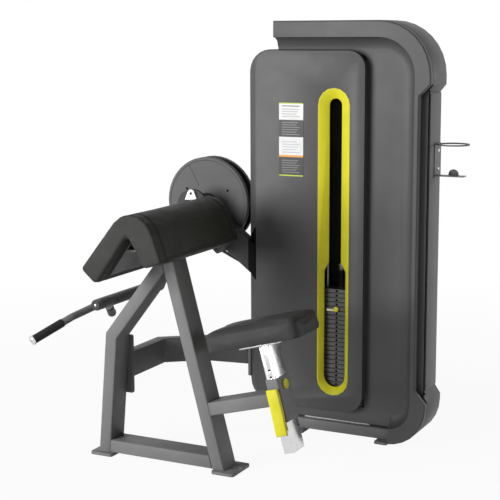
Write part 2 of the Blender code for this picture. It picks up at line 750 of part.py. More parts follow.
def build_lock_lever():
    """Yellow channel that swings on the sleeve's ear, its lower end standing off as a grip."""
    half = LOCK_WIDTH / 2
    back = -TUBE_WIDE / 2 - 0.0015
    outer = (
        (LOCK_FRONT - 0.004, LOCK_SPAN[0] + 0.006, 0.004),
        (LOCK_FRONT, LOCK_KNEE, 0.004),
        (LOCK_FRONT, LOCK_SPAN[1], 0.003),
        (back - 0.007, LOCK_SPAN[1], 0.002),
        (back, LOCK_PIVOT - 0.002, 0.002),
        (back, LOCK_KNEE, 0.004),
        (LOCK_FRONT + 0.007, LOCK_SPAN[0], 0.003),
    )
    lever_plane = SEAT @ SIDEWAYS
    lever = plate("seat_lock_lever", lever_plane, rounded(outer, 3), -half, half, "yellow")
    inner = (
        (LOCK_FRONT - 0.004 + LOCK_WALL, LOCK_SPAN[0] - 0.010, 0.0),
        (LOCK_FRONT + LOCK_WALL, LOCK_KNEE, 0.0),
        (LOCK_FRONT + LOCK_WALL, LOCK_SPAN[1] - LOCK_WALL, 0.0),
        (back + 0.010, LOCK_SPAN[1] - LOCK_WALL, 0.0),
        (back + 0.030, LOCK_SPAN[0] - 0.010, 0.0),
    )
    side = half - LOCK_WALL
    cut(lever, plate("lever_hollow_tool", lever_plane, rounded(inner, 3), -side, side, None))
    pin_at = SEAT @ Vector((-half + 0.001, -TUBE_WIDE / 2 - LOCK_AXIS_OUT, LOCK_PIVOT))
    join(lever, rod_tool("lever_pin", pin_at, SEAT_ALONG, LOCK_PIN_RADIUS, LOCK_WIDTH - 0.002))
    peg_height = SEAT_HOLE_TOP - LOCK_PEG_HOLE * SEAT_HOLE_PITCH
    peg_at = SEAT @ Vector((0.0, LOCK_FRONT + 0.001, peg_height))
    reach = -TUBE_WIDE / 2 + 0.002 - LOCK_FRONT
    profile = ((0, 0), (0.0035, 0), (0.0035, reach - 0.003), (0.002, reach), (0, reach))
    join(lever, turned("lever_peg", peg_at, (0, 1, 0), profile, None, 16))


# Arm pad

def build_arm_pad():
    outline = rounded(PAD_PROFILE, 5)
    rings = []
    ends = ((0.009, 1.0), (0.0025, 0.987), (0.0, 0.96))
    layers = [(inset, -share) for inset, share in ends] + list(reversed(ends))
    for inset, along in layers:
        loop = offset_loop(outline, inset)
        rings.append([Vector((a, PAD_HALF_Y * along, b)) for a, b in loop])
    loft("arm_pad", rings, "pad_vinyl", smooth=True)


def build_arm_pad_frame():
    """Folded plate under the pad's V, with a web that sits on the rear leg."""
    left_foot = Vector(PAD_PROFILE[2][:2])
    apex = Vector(PAD_PROFILE[3][:2])
    right_foot = Vector(PAD_PROFILE[4][:2])
    left_lead = (apex - left_foot).normalized()
    right_lead = (right_foot - apex).normalized()
    left_in = Vector((left_lead.y, -left_lead.x))
    right_in = Vector((right_lead.y, -right_lead.x))
    web_low = REAR_LEG_TOP + GAP
    web_high = web_low + PAD_WEB_THICK

    def meet(first, first_lead, second, second_lead):
        gap = second - first
        cross = first_lead.x * second_lead.y - first_lead.y * second_lead.x
        return first + first_lead * ((gap.x * second_lead.y - gap.y * second_lead.x) / cross)

    def at_height(point, lead, height):
        return point + lead * ((height - point.y) / lead.y)

    near = GAP
    far = GAP + PAD_FRAME_THICK
    top = meet(apex + left_in * near, left_lead, apex + right_in * near, right_lead)
    inside = meet(apex + left_in * far, left_lead, apex + right_in * far, right_lead)
    left_out = at_height(apex + left_in * near, left_lead, left_foot.y + 0.030)
    left_inner = at_height(apex + left_in * far, left_lead, left_foot.y + 0.030)
    right_out = at_height(apex + right_in * near, right_lead, right_foot.y + 0.020)
    right_inner = at_height(apex + right_in * far, right_lead, right_foot.y + 0.020)
    left_web = at_height(apex + left_in * far, left_lead, web_low)
    right_web = at_height(apex + right_in * far, right_lead, web_low)
    left_hole = at_height(apex + left_in * far, left_lead, web_high)
    right_hole = at_height(apex + right_in * far, right_lead, web_high)
    outline = (top, right_out, right_inner, right_web, left_web, left_inner, left_out)
    outline = [tuple(point) for point in outline]
    hole = [tuple(point) for point in (inside, right_hole, left_hole)]
    plate(
        "arm_pad_frame", UPRIGHT, outline, -PAD_FRAME_HALF_Y, PAD_FRAME_HALF_Y, "frame_grey", holes=(hole,)
    )


# Link beam

def build_link_beam():
    front = TUBE_WIDE / 2 + GAP
    inside = front + FLANGE_THICK / 2
    path = [(LINK_X, inside, LINK_HEIGHT)] + list(LINK_BENDS) + [LINK_TOWER]
    section = tube_section(TUBE_NARROW, TUBE_WIDE, TUBE_CORNER)
    hole = tube_section(TUBE_NARROW - 2 * TUBE_WALL, TUBE_WIDE - 2 * TUBE_WALL, TUBE_CORNER - TUBE_WALL)
    ends = ((0, 1, 0), (1, 0, 0))
    beam = swept("link_beam", path, section, "frame_grey", side=(1, 0, 0), cuts=ends, hole=hole)
    outline = rounded_box(*LEG_FLANGE_X, *LEG_FLANGE_Z, 0.008)
    hole = circle(LINK_X, LINK_HEIGHT, FLANGE_HOLE, 16)
    join(beam, plate("leg_flange", UPRIGHT, outline, front, front + FLANGE_THICK, None, holes=(hole,)))
    low = PANEL_X[0] - GAP - FLANGE_THICK
    outline = rounded_box(*TOWER_FLANGE_Y, *TOWER_FLANGE_Z, 0.008)
    hole = circle(LINK_TOWER[1], LINK_TOWER[2], FLANGE_HOLE, 16)
    join(beam, plate("tower_flange", SIDEWAYS, outline, low, low + FLANGE_THICK, None, holes=(hole,)))


# Lever

def along_y(name, centre, profile, look, steps=ROUND):
    """A turned piece about an axis along Y; heights in the profile are world y."""
    return turned(name, (centre[0], 0.0, centre[1]), (0, 1, 0), profile, look, steps)


def build_lever():
    bore = circle(PIVOT[0], PIVOT[1], SHAFT_RADIUS + GAP, 24)
    lead = Vector(CROSS) - Vector(PIVOT)
    heading = math.atan2(lead.y, lead.x)
    foot_radius = CROSS_RADIUS + 0.006
    spread = math.acos((HUB_RADIUS - foot_radius) / lead.length)
    outline = arc(PIVOT, HUB_RADIUS, heading + spread, heading + 2 * math.pi - spread, 14)
    outline += arc(CROSS, foot_radius, heading - spread, heading + spread, 12)
    arm = plate("lever_arm", UPRIGHT, outline, *ARM_SPAN, "frame_grey", holes=(bore,))
    inner = SHAFT_RADIUS + GAP
    low, high = HUB_SPAN
    profile = ((inner, low), (HUB_RADIUS - 0.003, low), (HUB_RADIUS - 0.003, high), (inner, high))
    join(arm, along_y("hub_boss", PIVOT, profile, None, 24))

    tube_start = YOKE_SLEEVE_Y[1] + GAP
    spindle_end = YOKE_SLEEVE_Y[0] - GAP
    tip_end = spindle_end - BUSH_THICK + 0.0005
    profile = (
        (0, tip_end), (SPINDLE_TIP_RADIUS, tip_end), (SPINDLE_TIP_RADIUS, spindle_end),
        (SPINDLE_RADIUS, spindle_end), (SPINDLE_RADIUS, tube_start), (CROSS_RADIUS, tube_start),
        (CROSS_RADIUS, ARM_SPAN[0] - GAP), (0, ARM_SPAN[0] - GAP),
    )
    along_y("cross_tube", CROSS, profile, "frame_grey")
    inner = SPINDLE_TIP_RADIUS + GAP
    edge = 0.001
    profile = (
        (inner, spindle_end - GAP), (inner, spindle_end - BUSH_THICK),
        (BUSH_RADIUS - edge, spindle_end - BUSH_THICK),
        (BUSH_RADIUS, spindle_end - BUSH_THICK + edge), (BUSH_RADIUS, spindle_end - GAP),
    )
    along_y("yoke_end_bush", CROSS, profile, "black_plastic")


def build_yoke():
    near_bend = (YOKE_BEND[0], -YOKE_BEND[1], YOKE_BEND[2])
    near_tip = (YOKE_TIP[0], -YOKE_TIP[1], YOKE_TIP[2])
    path = bent((near_tip, near_bend, YOKE_ROOT, YOKE_BEND, YOKE_TIP), YOKE_BEND_RADIUS, 4)
    section = circle(0, 0, YOKE_RADIUS, 20)
    yoke = swept("handle_yoke", path, section, "frame_grey", side=(0, 0, 1), smooth=True)
    low, high = YOKE_SLEEVE_Y
    profile = ((0, low), (CROSS_RADIUS, low), (CROSS_RADIUS, high), (0, high))
    join(yoke, along_y("yoke_sleeve", CROSS, profile, None))
    bore = SPINDLE_RADIUS + GAP
    reach = YOKE_TIP[1] + 0.05
    profile = ((0, low - 0.005), (bore, low - 0.005), (bore, high + 0.005), (0, high + 0.005))
    cut(yoke, along_y("yoke_bore_tool", CROSS, profile, None))

    for side_name, side in (("near", -1), ("far", 1)):
        tip = Vector((YOKE_TIP[0], YOKE_TIP[1] * side, YOKE_TIP[2]))
        bend = Vector((YOKE_BEND[0], YOKE_BEND[1] * side, YOKE_BEND[2]))
        lead = (tip - bend).normalized()
        start = tip - lead * (GRIP_LENGTH - 0.002)
        inner = YOKE_RADIUS + GAP
        profile = [(inner, 0.0), (GRIP_RADIUS - 0.001, 0.0), (GRIP_RADIUS, 0.002)]
        profile += [(GRIP_RADIUS, GRIP_LENGTH - 0.002), (inner, GRIP_LENGTH - 0.002)]
        turned("grip_" + side_name, start, lead, profile, "black_rubber")
        cap_at = tip + lead * GAP
        profile = (
            (0.0, 0.0), (GRIP_CAP_RADIUS - 0.001, 0.0), (GRIP_CAP_RADIUS, 0.001),
            (GRIP_CAP_RADIUS, GRIP_CAP_THICK - 0.002), (GRIP_CAP_RADIUS - 0.002, GRIP_CAP_THICK),
            (0.004, GRIP_CAP_THICK), (0.004, GRIP_CAP_THICK - 0.004), (0.0, GRIP_CAP_THICK - 0.004),
        )
        turned("grip_cap_" + side_name, cap_at, lead, profile, "chrome")


# Pivot and support beam

def build_pivot():
    low, high = SHAFT_SPAN
    edge = 0.001
    profile = (
        (0, low), (SHAFT_RADIUS - edge, low), (SHAFT_RADIUS, low + edge),
        (SHAFT_RADIUS, high - edge), (SHAFT_RADIUS - edge, high), (0, high),
    )
    along_y("pivot_shaft", PIVOT, profile, "steel")

    # Two-bolt flange: a lozenge of three arcs, with a raised boss round the bore
    x, z = PIVOT
    spread = math.acos((BEARING_BOSS - BEARING_EAR) / BEARING_BOLT)
    outline = []
    for side in (1, -1):
        middle = math.pi / 2 * (2 - side)
        ear = (x, z + BEARING_BOLT * side)
        outline += arc(ear, BEARING_EAR, middle - spread, middle + spread, 8)
        outline += arc(PIVOT, BEARING_BOSS, middle + spread, middle + math.pi - spread, 6)
    bore = circle(x, z, SHAFT_RADIUS + GAP, 24)
    bolts = [circle(x, z + BEARING_BOLT * side, 0.0055, 12) for side in (-1, 1)]
    face = BEARING_Y[1] - BEARING_FLANGE
    holes = (bore, *bolts)
    bearing = plate("flange_bearing", UPRIGHT, outline, face, BEARING_Y[1], "bright_casting", holes=holes)
    inner = SHAFT_RADIUS + GAP
    low = BEARING_Y[0]
    root_y = face + 0.002
    profile = ((inner, low), (BEARING_BOSS - 0.006, low), (BEARING_BOSS - 0.003, root_y), (inner, root_y))
    join(bearing, along_y("bearing_boss", PIVOT, profile, None, 24))


def housing_outline(inset, reach, round_part):
    """Rounded round the pivot, running out to the beam's end face."""
    lead = Vector((math.cos(BEAM_SLOPE), math.sin(BEAM_SLOPE)))
    normal = Vector((-lead.y, lead.x))
    end = Vector(BEAM_START) + lead * reach
    half = BEAM_TALL / 2 - inset
    upper = end + normal * half
    lower = end - normal * half
    pivot = Vector(PIVOT)
    radius = round_part - inset
    outline = [tuple(lower), tuple(upper)]
    first = tangent_angle(pivot, radius, upper, -1)
    last = tangent_angle(pivot, radius, lower, 1)
    while last < first:
        last += 2 * math.pi
    outline += arc(PIVOT, radius, first, last, 18)
    return outline


def tangent_angle(centre, radius, point, side):
    """Angle of the point where a line from a point touches a circle."""
    lead = point - centre
    return math.atan2(lead.y, lead.x) - side * math.acos(radius / lead.length)


def build_housing():
    low, high = HOUSING_Y
    plate_back = low + HOUSING_PLATE
    reach = -BEAM_FLANGE - GAP
    bore = circle(PIVOT[0], PIVOT[1], SHAFT_RADIUS + 0.001, 24)
    outline = housing_outline(0.0, reach, HOUSING_RADIUS)
    housing = plate("pivot_bracket", UPRIGHT, outline, low, plate_back, "frame_grey", holes=(bore,))
    # Box behind the bearing's plate, slimmer round the shaft
    outline = housing_outline(0.0, reach, HOUSING_BODY_RADIUS)
    box = plate("housing_box", UPRIGHT, outline, plate_back - 0.001, high, None, holes=(bore,))
    join(housing, box)
    inner = housing_outline(HOUSING_WALL, 0.02, HOUSING_BODY_RADIUS)
    hollow = plate("housing_hollow_tool", UPRIGHT, inner, plate_back, high - HOUSING_WALL, None)
    cut(housing, hollow)
    for index, side in enumerate((-1, 1)):
        bolt = circle(PIVOT[0], PIVOT[1] + BEARING_BOLT * side, 0.0045, 12)
        tool = plate("housing_bolt_tool_%d" % index, UPRIGHT, bolt, low - 0.01, plate_back + 0.0005, None)
        cut(housing, tool)


def beam_line(reach):
    return Vector((
        BEAM_START[0] + math.cos(BEAM_SLOPE) * reach, (BEAM_Y[0] + BEAM_Y[1]) / 2,
        BEAM_START[1] + math.sin(BEAM_SLOPE) * reach,
    ))


def beam_height_at(x):
    return BEAM_START[1] + (x - BEAM_START[0]) * math.tan(BEAM_SLOPE)


def build_support_beam():
    deep = BEAM_Y[1] - BEAM_Y[0]
    lead = Vector((math.cos(BEAM_SLOPE), 0.0, math.sin(BEAM_SLOPE)))
    length = (BEAM_END_X - BEAM_START[0]) / lead.x
    section = tube_section(deep, BEAM_TALL, TUBE_CORNER)
    hole = tube_section(deep - 2 * TUBE_WALL, BEAM_TALL - 2 * TUBE_WALL, TUBE_CORNER - TUBE_WALL)
    path = (beam_line(-BEAM_FLANGE / 2), beam_line(length))
    ends = (lead, (1, 0, 0))
    beam = swept("support_beam", path, section, "frame_grey", cuts=ends, hole=hole)
    # Flange against the pivot housing
    normal = Vector((-lead.z, 0.0, lead.x))
    start = beam_line(-BEAM_FLANGE)
    flange_plane = Matrix((
        (normal.x, 0, lead.x, start.x), (0, 1, 0, 0), (normal.z, 0, lead.z, start.z), (0, 0, 0, 1),
    ))
    half = BEAM_TALL / 2 + BEAM_FLANGE_LIP
    outline = rounded_box(-half, half, HOUSING_Y[0], HOUSING_Y[1] + BEAM_FLANGE_LIP / 2, 0.006)
    join(beam, plate("beam_flange", flange_plane, outline, 0.0, BEAM_FLANGE, None))
    # Stub that ties the beam to the left upright
    middle = beam_height_at(LEFT_UPRIGHT_X + INNER_TUBE / 2)
    stub_z = (middle - 0.036, middle + 0.036)
    stub_x = (LEFT_UPRIGHT_X + 0.001, BEAM_END_X - 0.001)
    join(beam, box_tool("beam_stub", stub_x, (BEAM_Y[1] - 0.002, FRAME_FRONT - GAP), stub_z))
    # Axle of the low pulley
    profile = axle_profile(BEAM_Y[1] - 0.002, 1)
    join(beam, along_y("low_axle", PULLEY_LOW, profile, None, SMALL_ROUND))


# Belt drum

def build_drum():
    low = FRONT_DISC_Y[1] + GAP
    high = REAR_DISC_Y[1]
    rear = REAR_DISC_Y[0]
    bore = SHAFT_RADIUS + GAP
    inner = DRUM_RADIUS - 0.010
    profile = (
        (bore, low), (0.030, low), (0.030, rear - 0.012), (inner, rear - 0.012), (inner, low),
        (DRUM_RADIUS, low), (DRUM_RADIUS, rear), (DISC_RADIUS - 0.002, rear),
        (DISC_RADIUS, rear + 0.002), (DISC_RADIUS, high - 0.002), (DISC_RADIUS - 0.002, high), (bore, high),
    )
    along_y("cam_drum", PIVOT, profile, "black_plastic", DISC_STEPS)

    low, high = FRONT_DISC_Y
    profile = (
        (bore, low), (DISC_RING - 0.001, low), (DISC_RING, low + 0.001), (DISC_RING + 0.001, low),
        (DISC_RADIUS - 0.003, low), (DISC_RADIUS, low + 0.003), (DISC_RADIUS, high - 0.003),
        (DISC_RADIUS - 0.003, high), (bore, high),
    )
    disc = along_y("cam_front_disc", PIVOT, profile, "frame_grey", DISC_STEPS)
    for index, degrees in enumerate(DISC_SCREW_ANGLES):
        angle = math.radians(degrees)
        x = PIVOT[0] + DISC_SCREW_CIRCLE * math.cos(angle)
        z = PIVOT[1] + DISC_SCREW_CIRCLE * math.sin(angle)
        tool = rod_tool("disc_screw_tool_%d" % index, (x, low - 0.005, z), (0, 1, 0), 0.0055, 0.013, 12)
        cut(disc, tool)


# Tower covers

def hoop_path(limits):
    """Outer edge of the hoop (x, z, inward x, inward z), from the top left to the foot."""
    left, right = TOWER_X
    low, high = TOWER_Z
    stations = [(left, high, 0.0, -1.0), (left + 0.2, high, 0.0, -1.0)]
    centre = (right - CORNER_TOP, high - CORNER_TOP)
    for step in range(9):
        angle = math.pi / 2 * (1 - step / 8)
        a, b = math.cos(angle), math.sin(angle)
        stations.append((centre[0] + CORNER_TOP * a, centre[1] + CORNER_TOP * b, -a, -b))
    for height, _ in reversed(limits):
        stations.append((right, height, -1.0, 0.0))
    centre = (right - CORNER_BOTTOM, low + CORNER_BOTTOM)
    for step in range(8):
        angle = -math.pi / 2 * step / 7
        a, b = math.cos(angle), math.sin(angle)
        x = centre[0] + CORNER_BOTTOM * a
        stations.append((max(x, HOOP_FOOT_X), centre[1] + CORNER_BOTTOM * b, -a, -b))
    return stations


def limit_at(limits, height):
    """Largest x allowed at a height, by straight lines between the given points."""
    for (z0, x0), (z1, x1) in zip(limits, limits[1:]):
        if z0 <= height <= z1:
            return x0 + (x1 - x0) * (height - z0) / (z1 - z0)
    return TOWER_X[1]


def hoop_point(station, inset, y, limits=None):
    x, z, in_x, in_z = station
    point_x = x + in_x * inset
    point_z = z + in_z * inset
    if limits is not None and abs(in_z) < 0.01:
        point_x = min(point_x, limit_at(limits, z) - inset)
    return Vector((point_x, y, point_z))


def sheet_of(name, rows, extra_faces, look, outward):
    """An open sheet from rows of points, with further faces given as corner lists."""
    width = len(rows[0])
    points = [point for row in rows for point in row]
    faces = []
    for row in range(len(rows) - 1):
        low = row * width
        for index in range(width - 1):
            faces.append((low + index, low + index + 1, low + width + index + 1, low + width + index))
    for corners in extra_faces:
        face = []
        for corner in corners:
            if isinstance(corner, int):
                face.append(corner)
            else:
                face.append(len(points))
                points.append(corner)
        faces.append(tuple(face))
    body = body_of(name, points, faces, look, smooth=True, outward=outward)
    thicken(body, SHEET)
    return body


def build_front_cover():
    rows = []
    stations = hoop_path(NOTCH)
    for station in stations:
        row = [
            hoop_point(station, 0.0, SEAM_Y[0], NOTCH),
            hoop_point(station, 0.0, COVER_FRONT + 0.004, NOTCH),
            hoop_point(station, 0.004, COVER_FRONT, NOTCH),
        ]
        for step in range(5):
            angle = math.pi * (1 - step / 8)
            inset = BAND + COVE_WIDE * (1 + math.cos(angle))
            depth = (FLOOR_Y - COVER_FRONT) * math.sin(angle)
            row.append(hoop_point(station, inset, COVER_FRONT + depth))
        rows.append(row)
    width = len(rows[0])
    edge = [index * width + width - 1 for index in range(len(rows))]
    right = WINDOW_X
    low, high = WINDOW_Z
    left = TOWER_X[0]
    floor = edge + [
        Vector((HOOP_FOOT_X, FLOOR_Y, FLOOR_LOW)), Vector((left, FLOOR_Y, FLOOR_LOW)),
        Vector((left, FLOOR_Y, low)), Vector((right, FLOOR_Y, low)),
        Vector((right, FLOOR_Y, high)), Vector((left, FLOOR_Y, high)),
    ]
    top_end = list(range(width))
    foot_end = list(range((len(rows) - 1) * width, len(rows) * width))
    sheet_of("front_cover", rows, (floor, top_end, foot_end), "cover_grey", (0, -1, 0))


def build_rear_cover():
    tongue = SHEET + GAP
    rows = []
    for station in hoop_path(SIDE_RECESS):
        rows.append([
            hoop_point(station, tongue, SEAM_Y[0] - 0.0085, SIDE_RECESS),
            hoop_point(station, tongue, SEAM_Y[1], SIDE_RECESS),
            hoop_point(station, 0.0, SEAM_Y[1], SIDE_RECESS),
            hoop_point(station, 0.0, COVER_BACK, SIDE_RECESS),
        ])
    width = len(rows[0])
    edge = [index * width + width - 1 for index in range(len(rows))]
    left = TOWER_X[0]
    back = edge + [
        Vector((HOOP_FOOT_X, COVER_BACK, FLOOR_LOW)), Vector((left, COVER_BACK, FLOOR_LOW)),
    ]
    cover = sheet_of("rear_cover", rows, (back,), "cover_grey", (0, 1, 0))
    recess_low, recess_high = SIDE_RECESS[1][0], SIDE_RECESS[2][0]
    tool_z = (recess_low - 0.028, recess_high + 0.022)
    cut(cover, box_tool("recess_tool", (0.540, 0.570), (SEAM_Y[0] - 0.02, STRIP_GAP_Y), tool_z))
    crossing_z = (NOTCH[0][0] - 0.004, NOTCH[3][0] + 0.004)
    crossing_y = (SEAM_Y[0] - 0.02, SEAM_Y[1] + SHEET / 2)
    cut(cover, box_tool("crossing_tool", (0.530, 0.600), crossing_y, crossing_z))
    # Room for the end walls of the front cover
    depth = (COVER_FRONT, FLOOR_Y + SHEET + GAP)
    top = (PANEL_Z[1], TOWER_Z[1] + 0.01)
    foot = (0.0, FLOOR_LOW + 0.06)
    cut(cover, box_tool("top_end_tool", (left - 0.01, left + SHEET + GAP), depth, top))
    reach = (HOOP_FOOT_X - 0.01, HOOP_FOOT_X + SHEET + GAP)
    cut(cover, box_tool("foot_end_tool", reach, depth, foot))
    inset = left + 0.0005
    wall_z = (PANEL_Z[1] + 0.0033, TOWER_Z[1] - SHEET / 2)
    wall_y = (depth[1] + 0.001, COVER_BACK - SHEET / 2)
    join(cover, box_tool("rear_left_wall", (inset, inset + SHEET), wall_y, wall_z))


def build_side_strips():
    wall = NOTCH[1][1]
    low = NOTCH[1][0] - STRIP_REACH[0]
    high = NOTCH[2][0] + STRIP_REACH[1]
    face = COVER_FRONT + STRIP_FRONT_SUNK
    thick = 0.0025
    leg = wall - SHEET - GAP
    outline = (
        (wall + STRIP_FRONT_WIDE, face), (wall + STRIP_FRONT_WIDE, face + thick), (leg - thick, face + thick),
        (leg - thick, COVER_FRONT + 0.010), (leg, COVER_FRONT + 0.010), (leg, face),
    )
    plate("side_strip_front", FLAT, outline, low, high, "cover_grey")
    side = SIDE_RECESS[1][1] + GAP
    low = SIDE_RECESS[1][0] + 0.004
    high = SIDE_RECESS[2][0] - 0.004
    outline = rounded_box(side, side + SHEET, STRIP_GAP_Y + 0.002, COVER_BACK - 0.003, 0.001, 2)
    plate("side_strip_rear", FLAT, outline, low, high, "strip_light")


def slot_loop(half_low, half_high, z_span, steps=8):
    """Capsule outline whose half-width may change at the step."""
    low, high = z_span
    loop = arc((STACK_X, low + half_low), half_low, -math.pi, 0.0, steps)
    for height, half in ((SLOT_STEP_Z[0], half_low), (SLOT_STEP_Z[1], half_high)):
        loop.append((STACK_X + half, height))
    loop += arc((STACK_X, high - half_high), half_high, 0.0, math.pi, steps)
    for height, half in ((SLOT_STEP_Z[1], half_high), (SLOT_STEP_Z[0], half_low)):
        loop.append((STACK_X - half, height))
    return loop


def build_raised_panel():
    left, right = PANEL_X
    low, high = PANEL_Z
    back = rounded_box(left, right, low, high, PANEL_CORNER, 6)
    edge = 0.004
    front = rounded_box(CHAMFER_X, right - edge, low + edge, high - edge, PANEL_CORNER - 0.020, 6)
    rings = [
        [Vector((a, FLOOR_Y - GAP, b)) for a, b in back],
        [Vector((a, CHAMFER_Y, b)) for a, b in back],
        [Vector((a, PANEL_FRONT, b)) for a, b in front],
    ]
    size = len(back)
    points = [point for ring in rings for point in ring]
    faces = []
    for ring in range(2):
        for index in range(size):
            after = (index + 1) % size
            start = ring * size
            faces.append((start + index, start + after, start + size + after, start + size + index))
    slot = slot_loop(SLOT_OUTER + GAP, SLOT_OUTER + GAP, (SLOT_OUTER_Z[0] - GAP, SLOT_OUTER_Z[1] + GAP))
    flat = [[Vector((a, b, 0)) for a, b in front], [Vector((a, b, 0)) for a, b in slot]]
    first = 2 * size
    points += [Vector((a, PANEL_FRONT, b)) for a, b in slot]
    for triangle in tessellate_polygon(flat):
        faces.append(tuple(first + corner for corner in triangle))
    panel = body_of("raised_panel", points, faces, "cover_grey", smooth=True, outward=(0, -1, 0))
    thicken(panel, SHEET)
    opening = gland_outline(GAP)
    cut(panel, plate("panel_gland_tool", UPRIGHT, opening, COVER_FRONT, GLAND_BACK + 0.02, None))


def gland_outline(clearance):
    """Side view of the gland: taller at the panel's front than at its side wall."""
    left = PANEL_X[0] - 0.02
    right = CHAMFER_X + 0.0022 + clearance
    low, high = GLAND_REAR_Z
    front_low, front_high = GLAND_FRONT_Z
    spare = 2 * clearance
    return (
        (left, low - spare), (PANEL_X[0], low - spare), (right, front_low - spare),
        (right, front_high + spare), (PANEL_X[0], high + spare), (left, high + spare),
    )


def build_slot_ring():
    outer = SLOT_OUTER
    rings = []
    thick = 0.0025
    layers = (
        (outer, outer, 0.0, PANEL_FRONT + 0.0027), (outer, outer, 0.0, PANEL_FRONT - 0.0005),
        (outer - 0.003, outer - 0.003, 0.10, PANEL_FRONT - 0.0005),
        (SLOT_WIDE, SLOT_NARROW, 1.0, SLOT_DEPTH_Y),
        (SLOT_WIDE, SLOT_NARROW, 1.0, SLOT_DEPTH_Y + thick),
    )
    for half_low, half_high, share, y in layers:
        low = SLOT_OUTER_Z[0] + (SLOT_INNER_Z[0] - SLOT_OUTER_Z[0]) * share
        high = SLOT_OUTER_Z[1] + (SLOT_INNER_Z[1] - SLOT_OUTER_Z[1]) * share
        rings.append([Vector((a, y, b)) for a, b in slot_loop(half_low, half_high, (low, high))])
    loft("slot_ring", rings, "yellow", closed=True, smooth=True)


def build_left_side_cover():
    """C-shaped shell behind the raised panel, open towards the stack."""
    left, right = PANEL_X[0], TOWER_X[0] - GAP
    low, high = PANEL_Z
    corner = PANEL_CORNER
    path = [(right, low), (left + corner, low)]
    path += arc((left + corner, low + corner), corner, -math.pi / 2, -math.pi, 6)[1:]
    path += arc((left + corner, high - corner), corner, math.pi, math.pi / 2, 6)
    path.append((right, high))
    rows = [[Vector((x, FLOOR_Y, z)), Vector((x, COVER_BACK, z))] for x, z in path]
    back = [2 * index + 1 for index in range(len(path))]
    cover = sheet_of("left_side_cover", rows, (back,), "cover_grey", (0, 1, 0))
    tool_x = (left - 0.02, left + 0.02)
    tool_y = (PANEL_FRONT, FLOOR_Y + BAY_WIDE_Y)
    cut(cover, box_tool("bay_tool", tool_x, tool_y, BAY_OPENING_Z))


def build_beam_gland():
    left = PANEL_X[0] - 0.0005
    right = CHAMFER_X + 0.0022
    front = PANEL_FRONT + 0.0005
    outline = ((right, front), (left, CHAMFER_Y + 0.0008), (left, GLAND_BACK), (right, GLAND_BACK))
    gland = plate("beam_gland", FLAT, outline, *GLAND_FRONT_Z, "black_plastic")
    keep = plate("gland_keep_tool", UPRIGHT, gland_outline(0.0), front - 0.01, GLAND_BACK + 0.01, None)
    combine(gland, keep, "INTERSECT")
    deep = BEAM_Y[1] - BEAM_Y[0] + 0.001
    lead = Vector((math.cos(BEAM_SLOPE), 0.0, math.sin(BEAM_SLOPE)))
    section = tube_section(deep, BEAM_TALL + 0.001, TUBE_CORNER)
    tool = swept("gland_beam_tool", (beam_line(0.03), beam_line(0.25)), section, None)
    cut(gland, tool)


# Frame inside the tower

def square_tube(name, plane, a_span, b_span, low, high, look="frame_grey"):
    outline = rounded_box(*a_span, *b_span, TUBE_CORNER, 2)
    wall = TUBE_WALL
    hollow = rounded_box(a_span[0] + wall, a_span[1] - wall, b_span[0] + wall, b_span[1] - wall, 0.0)
    return plate(name, plane, outline, low, high, look, holes=(hollow,))


def axle_profile(root_y, side):
    """Axle from a frame face through a pulley, with a shoulder and a head; side
    is +1 where the pulley is behind the face and -1 where it is in front."""
    if side > 0:
        near, far = STACK_Y - PULLEY_WIDE / 2 - GAP, STACK_Y + PULLEY_WIDE / 2 + GAP
        return (
            (0, root_y), (0.010, root_y), (0.010, near), (0.006, near), (0.006, far),
            (0.009, far), (0.009, far + 0.003), (0, far + 0.003),
        )
    near, far = STACK_Y + PULLEY_WIDE / 2 + GAP, STACK_Y - PULLEY_WIDE / 2 - GAP
    return (
        (0, far - 0.003), (0.009, far - 0.003), (0.009, far), (0.006, far), (0.006, near),
        (0.010, near), (0.010, root_y), (0, root_y),
    )


def top_pulley_x():
    groove = PULLEY_GROOVE + BELT_CLEARANCE + BELT_THICK / 2
    left = PULLEY_LOW[0] + 2 * groove
    right = STACK_X - groove
    return left, right


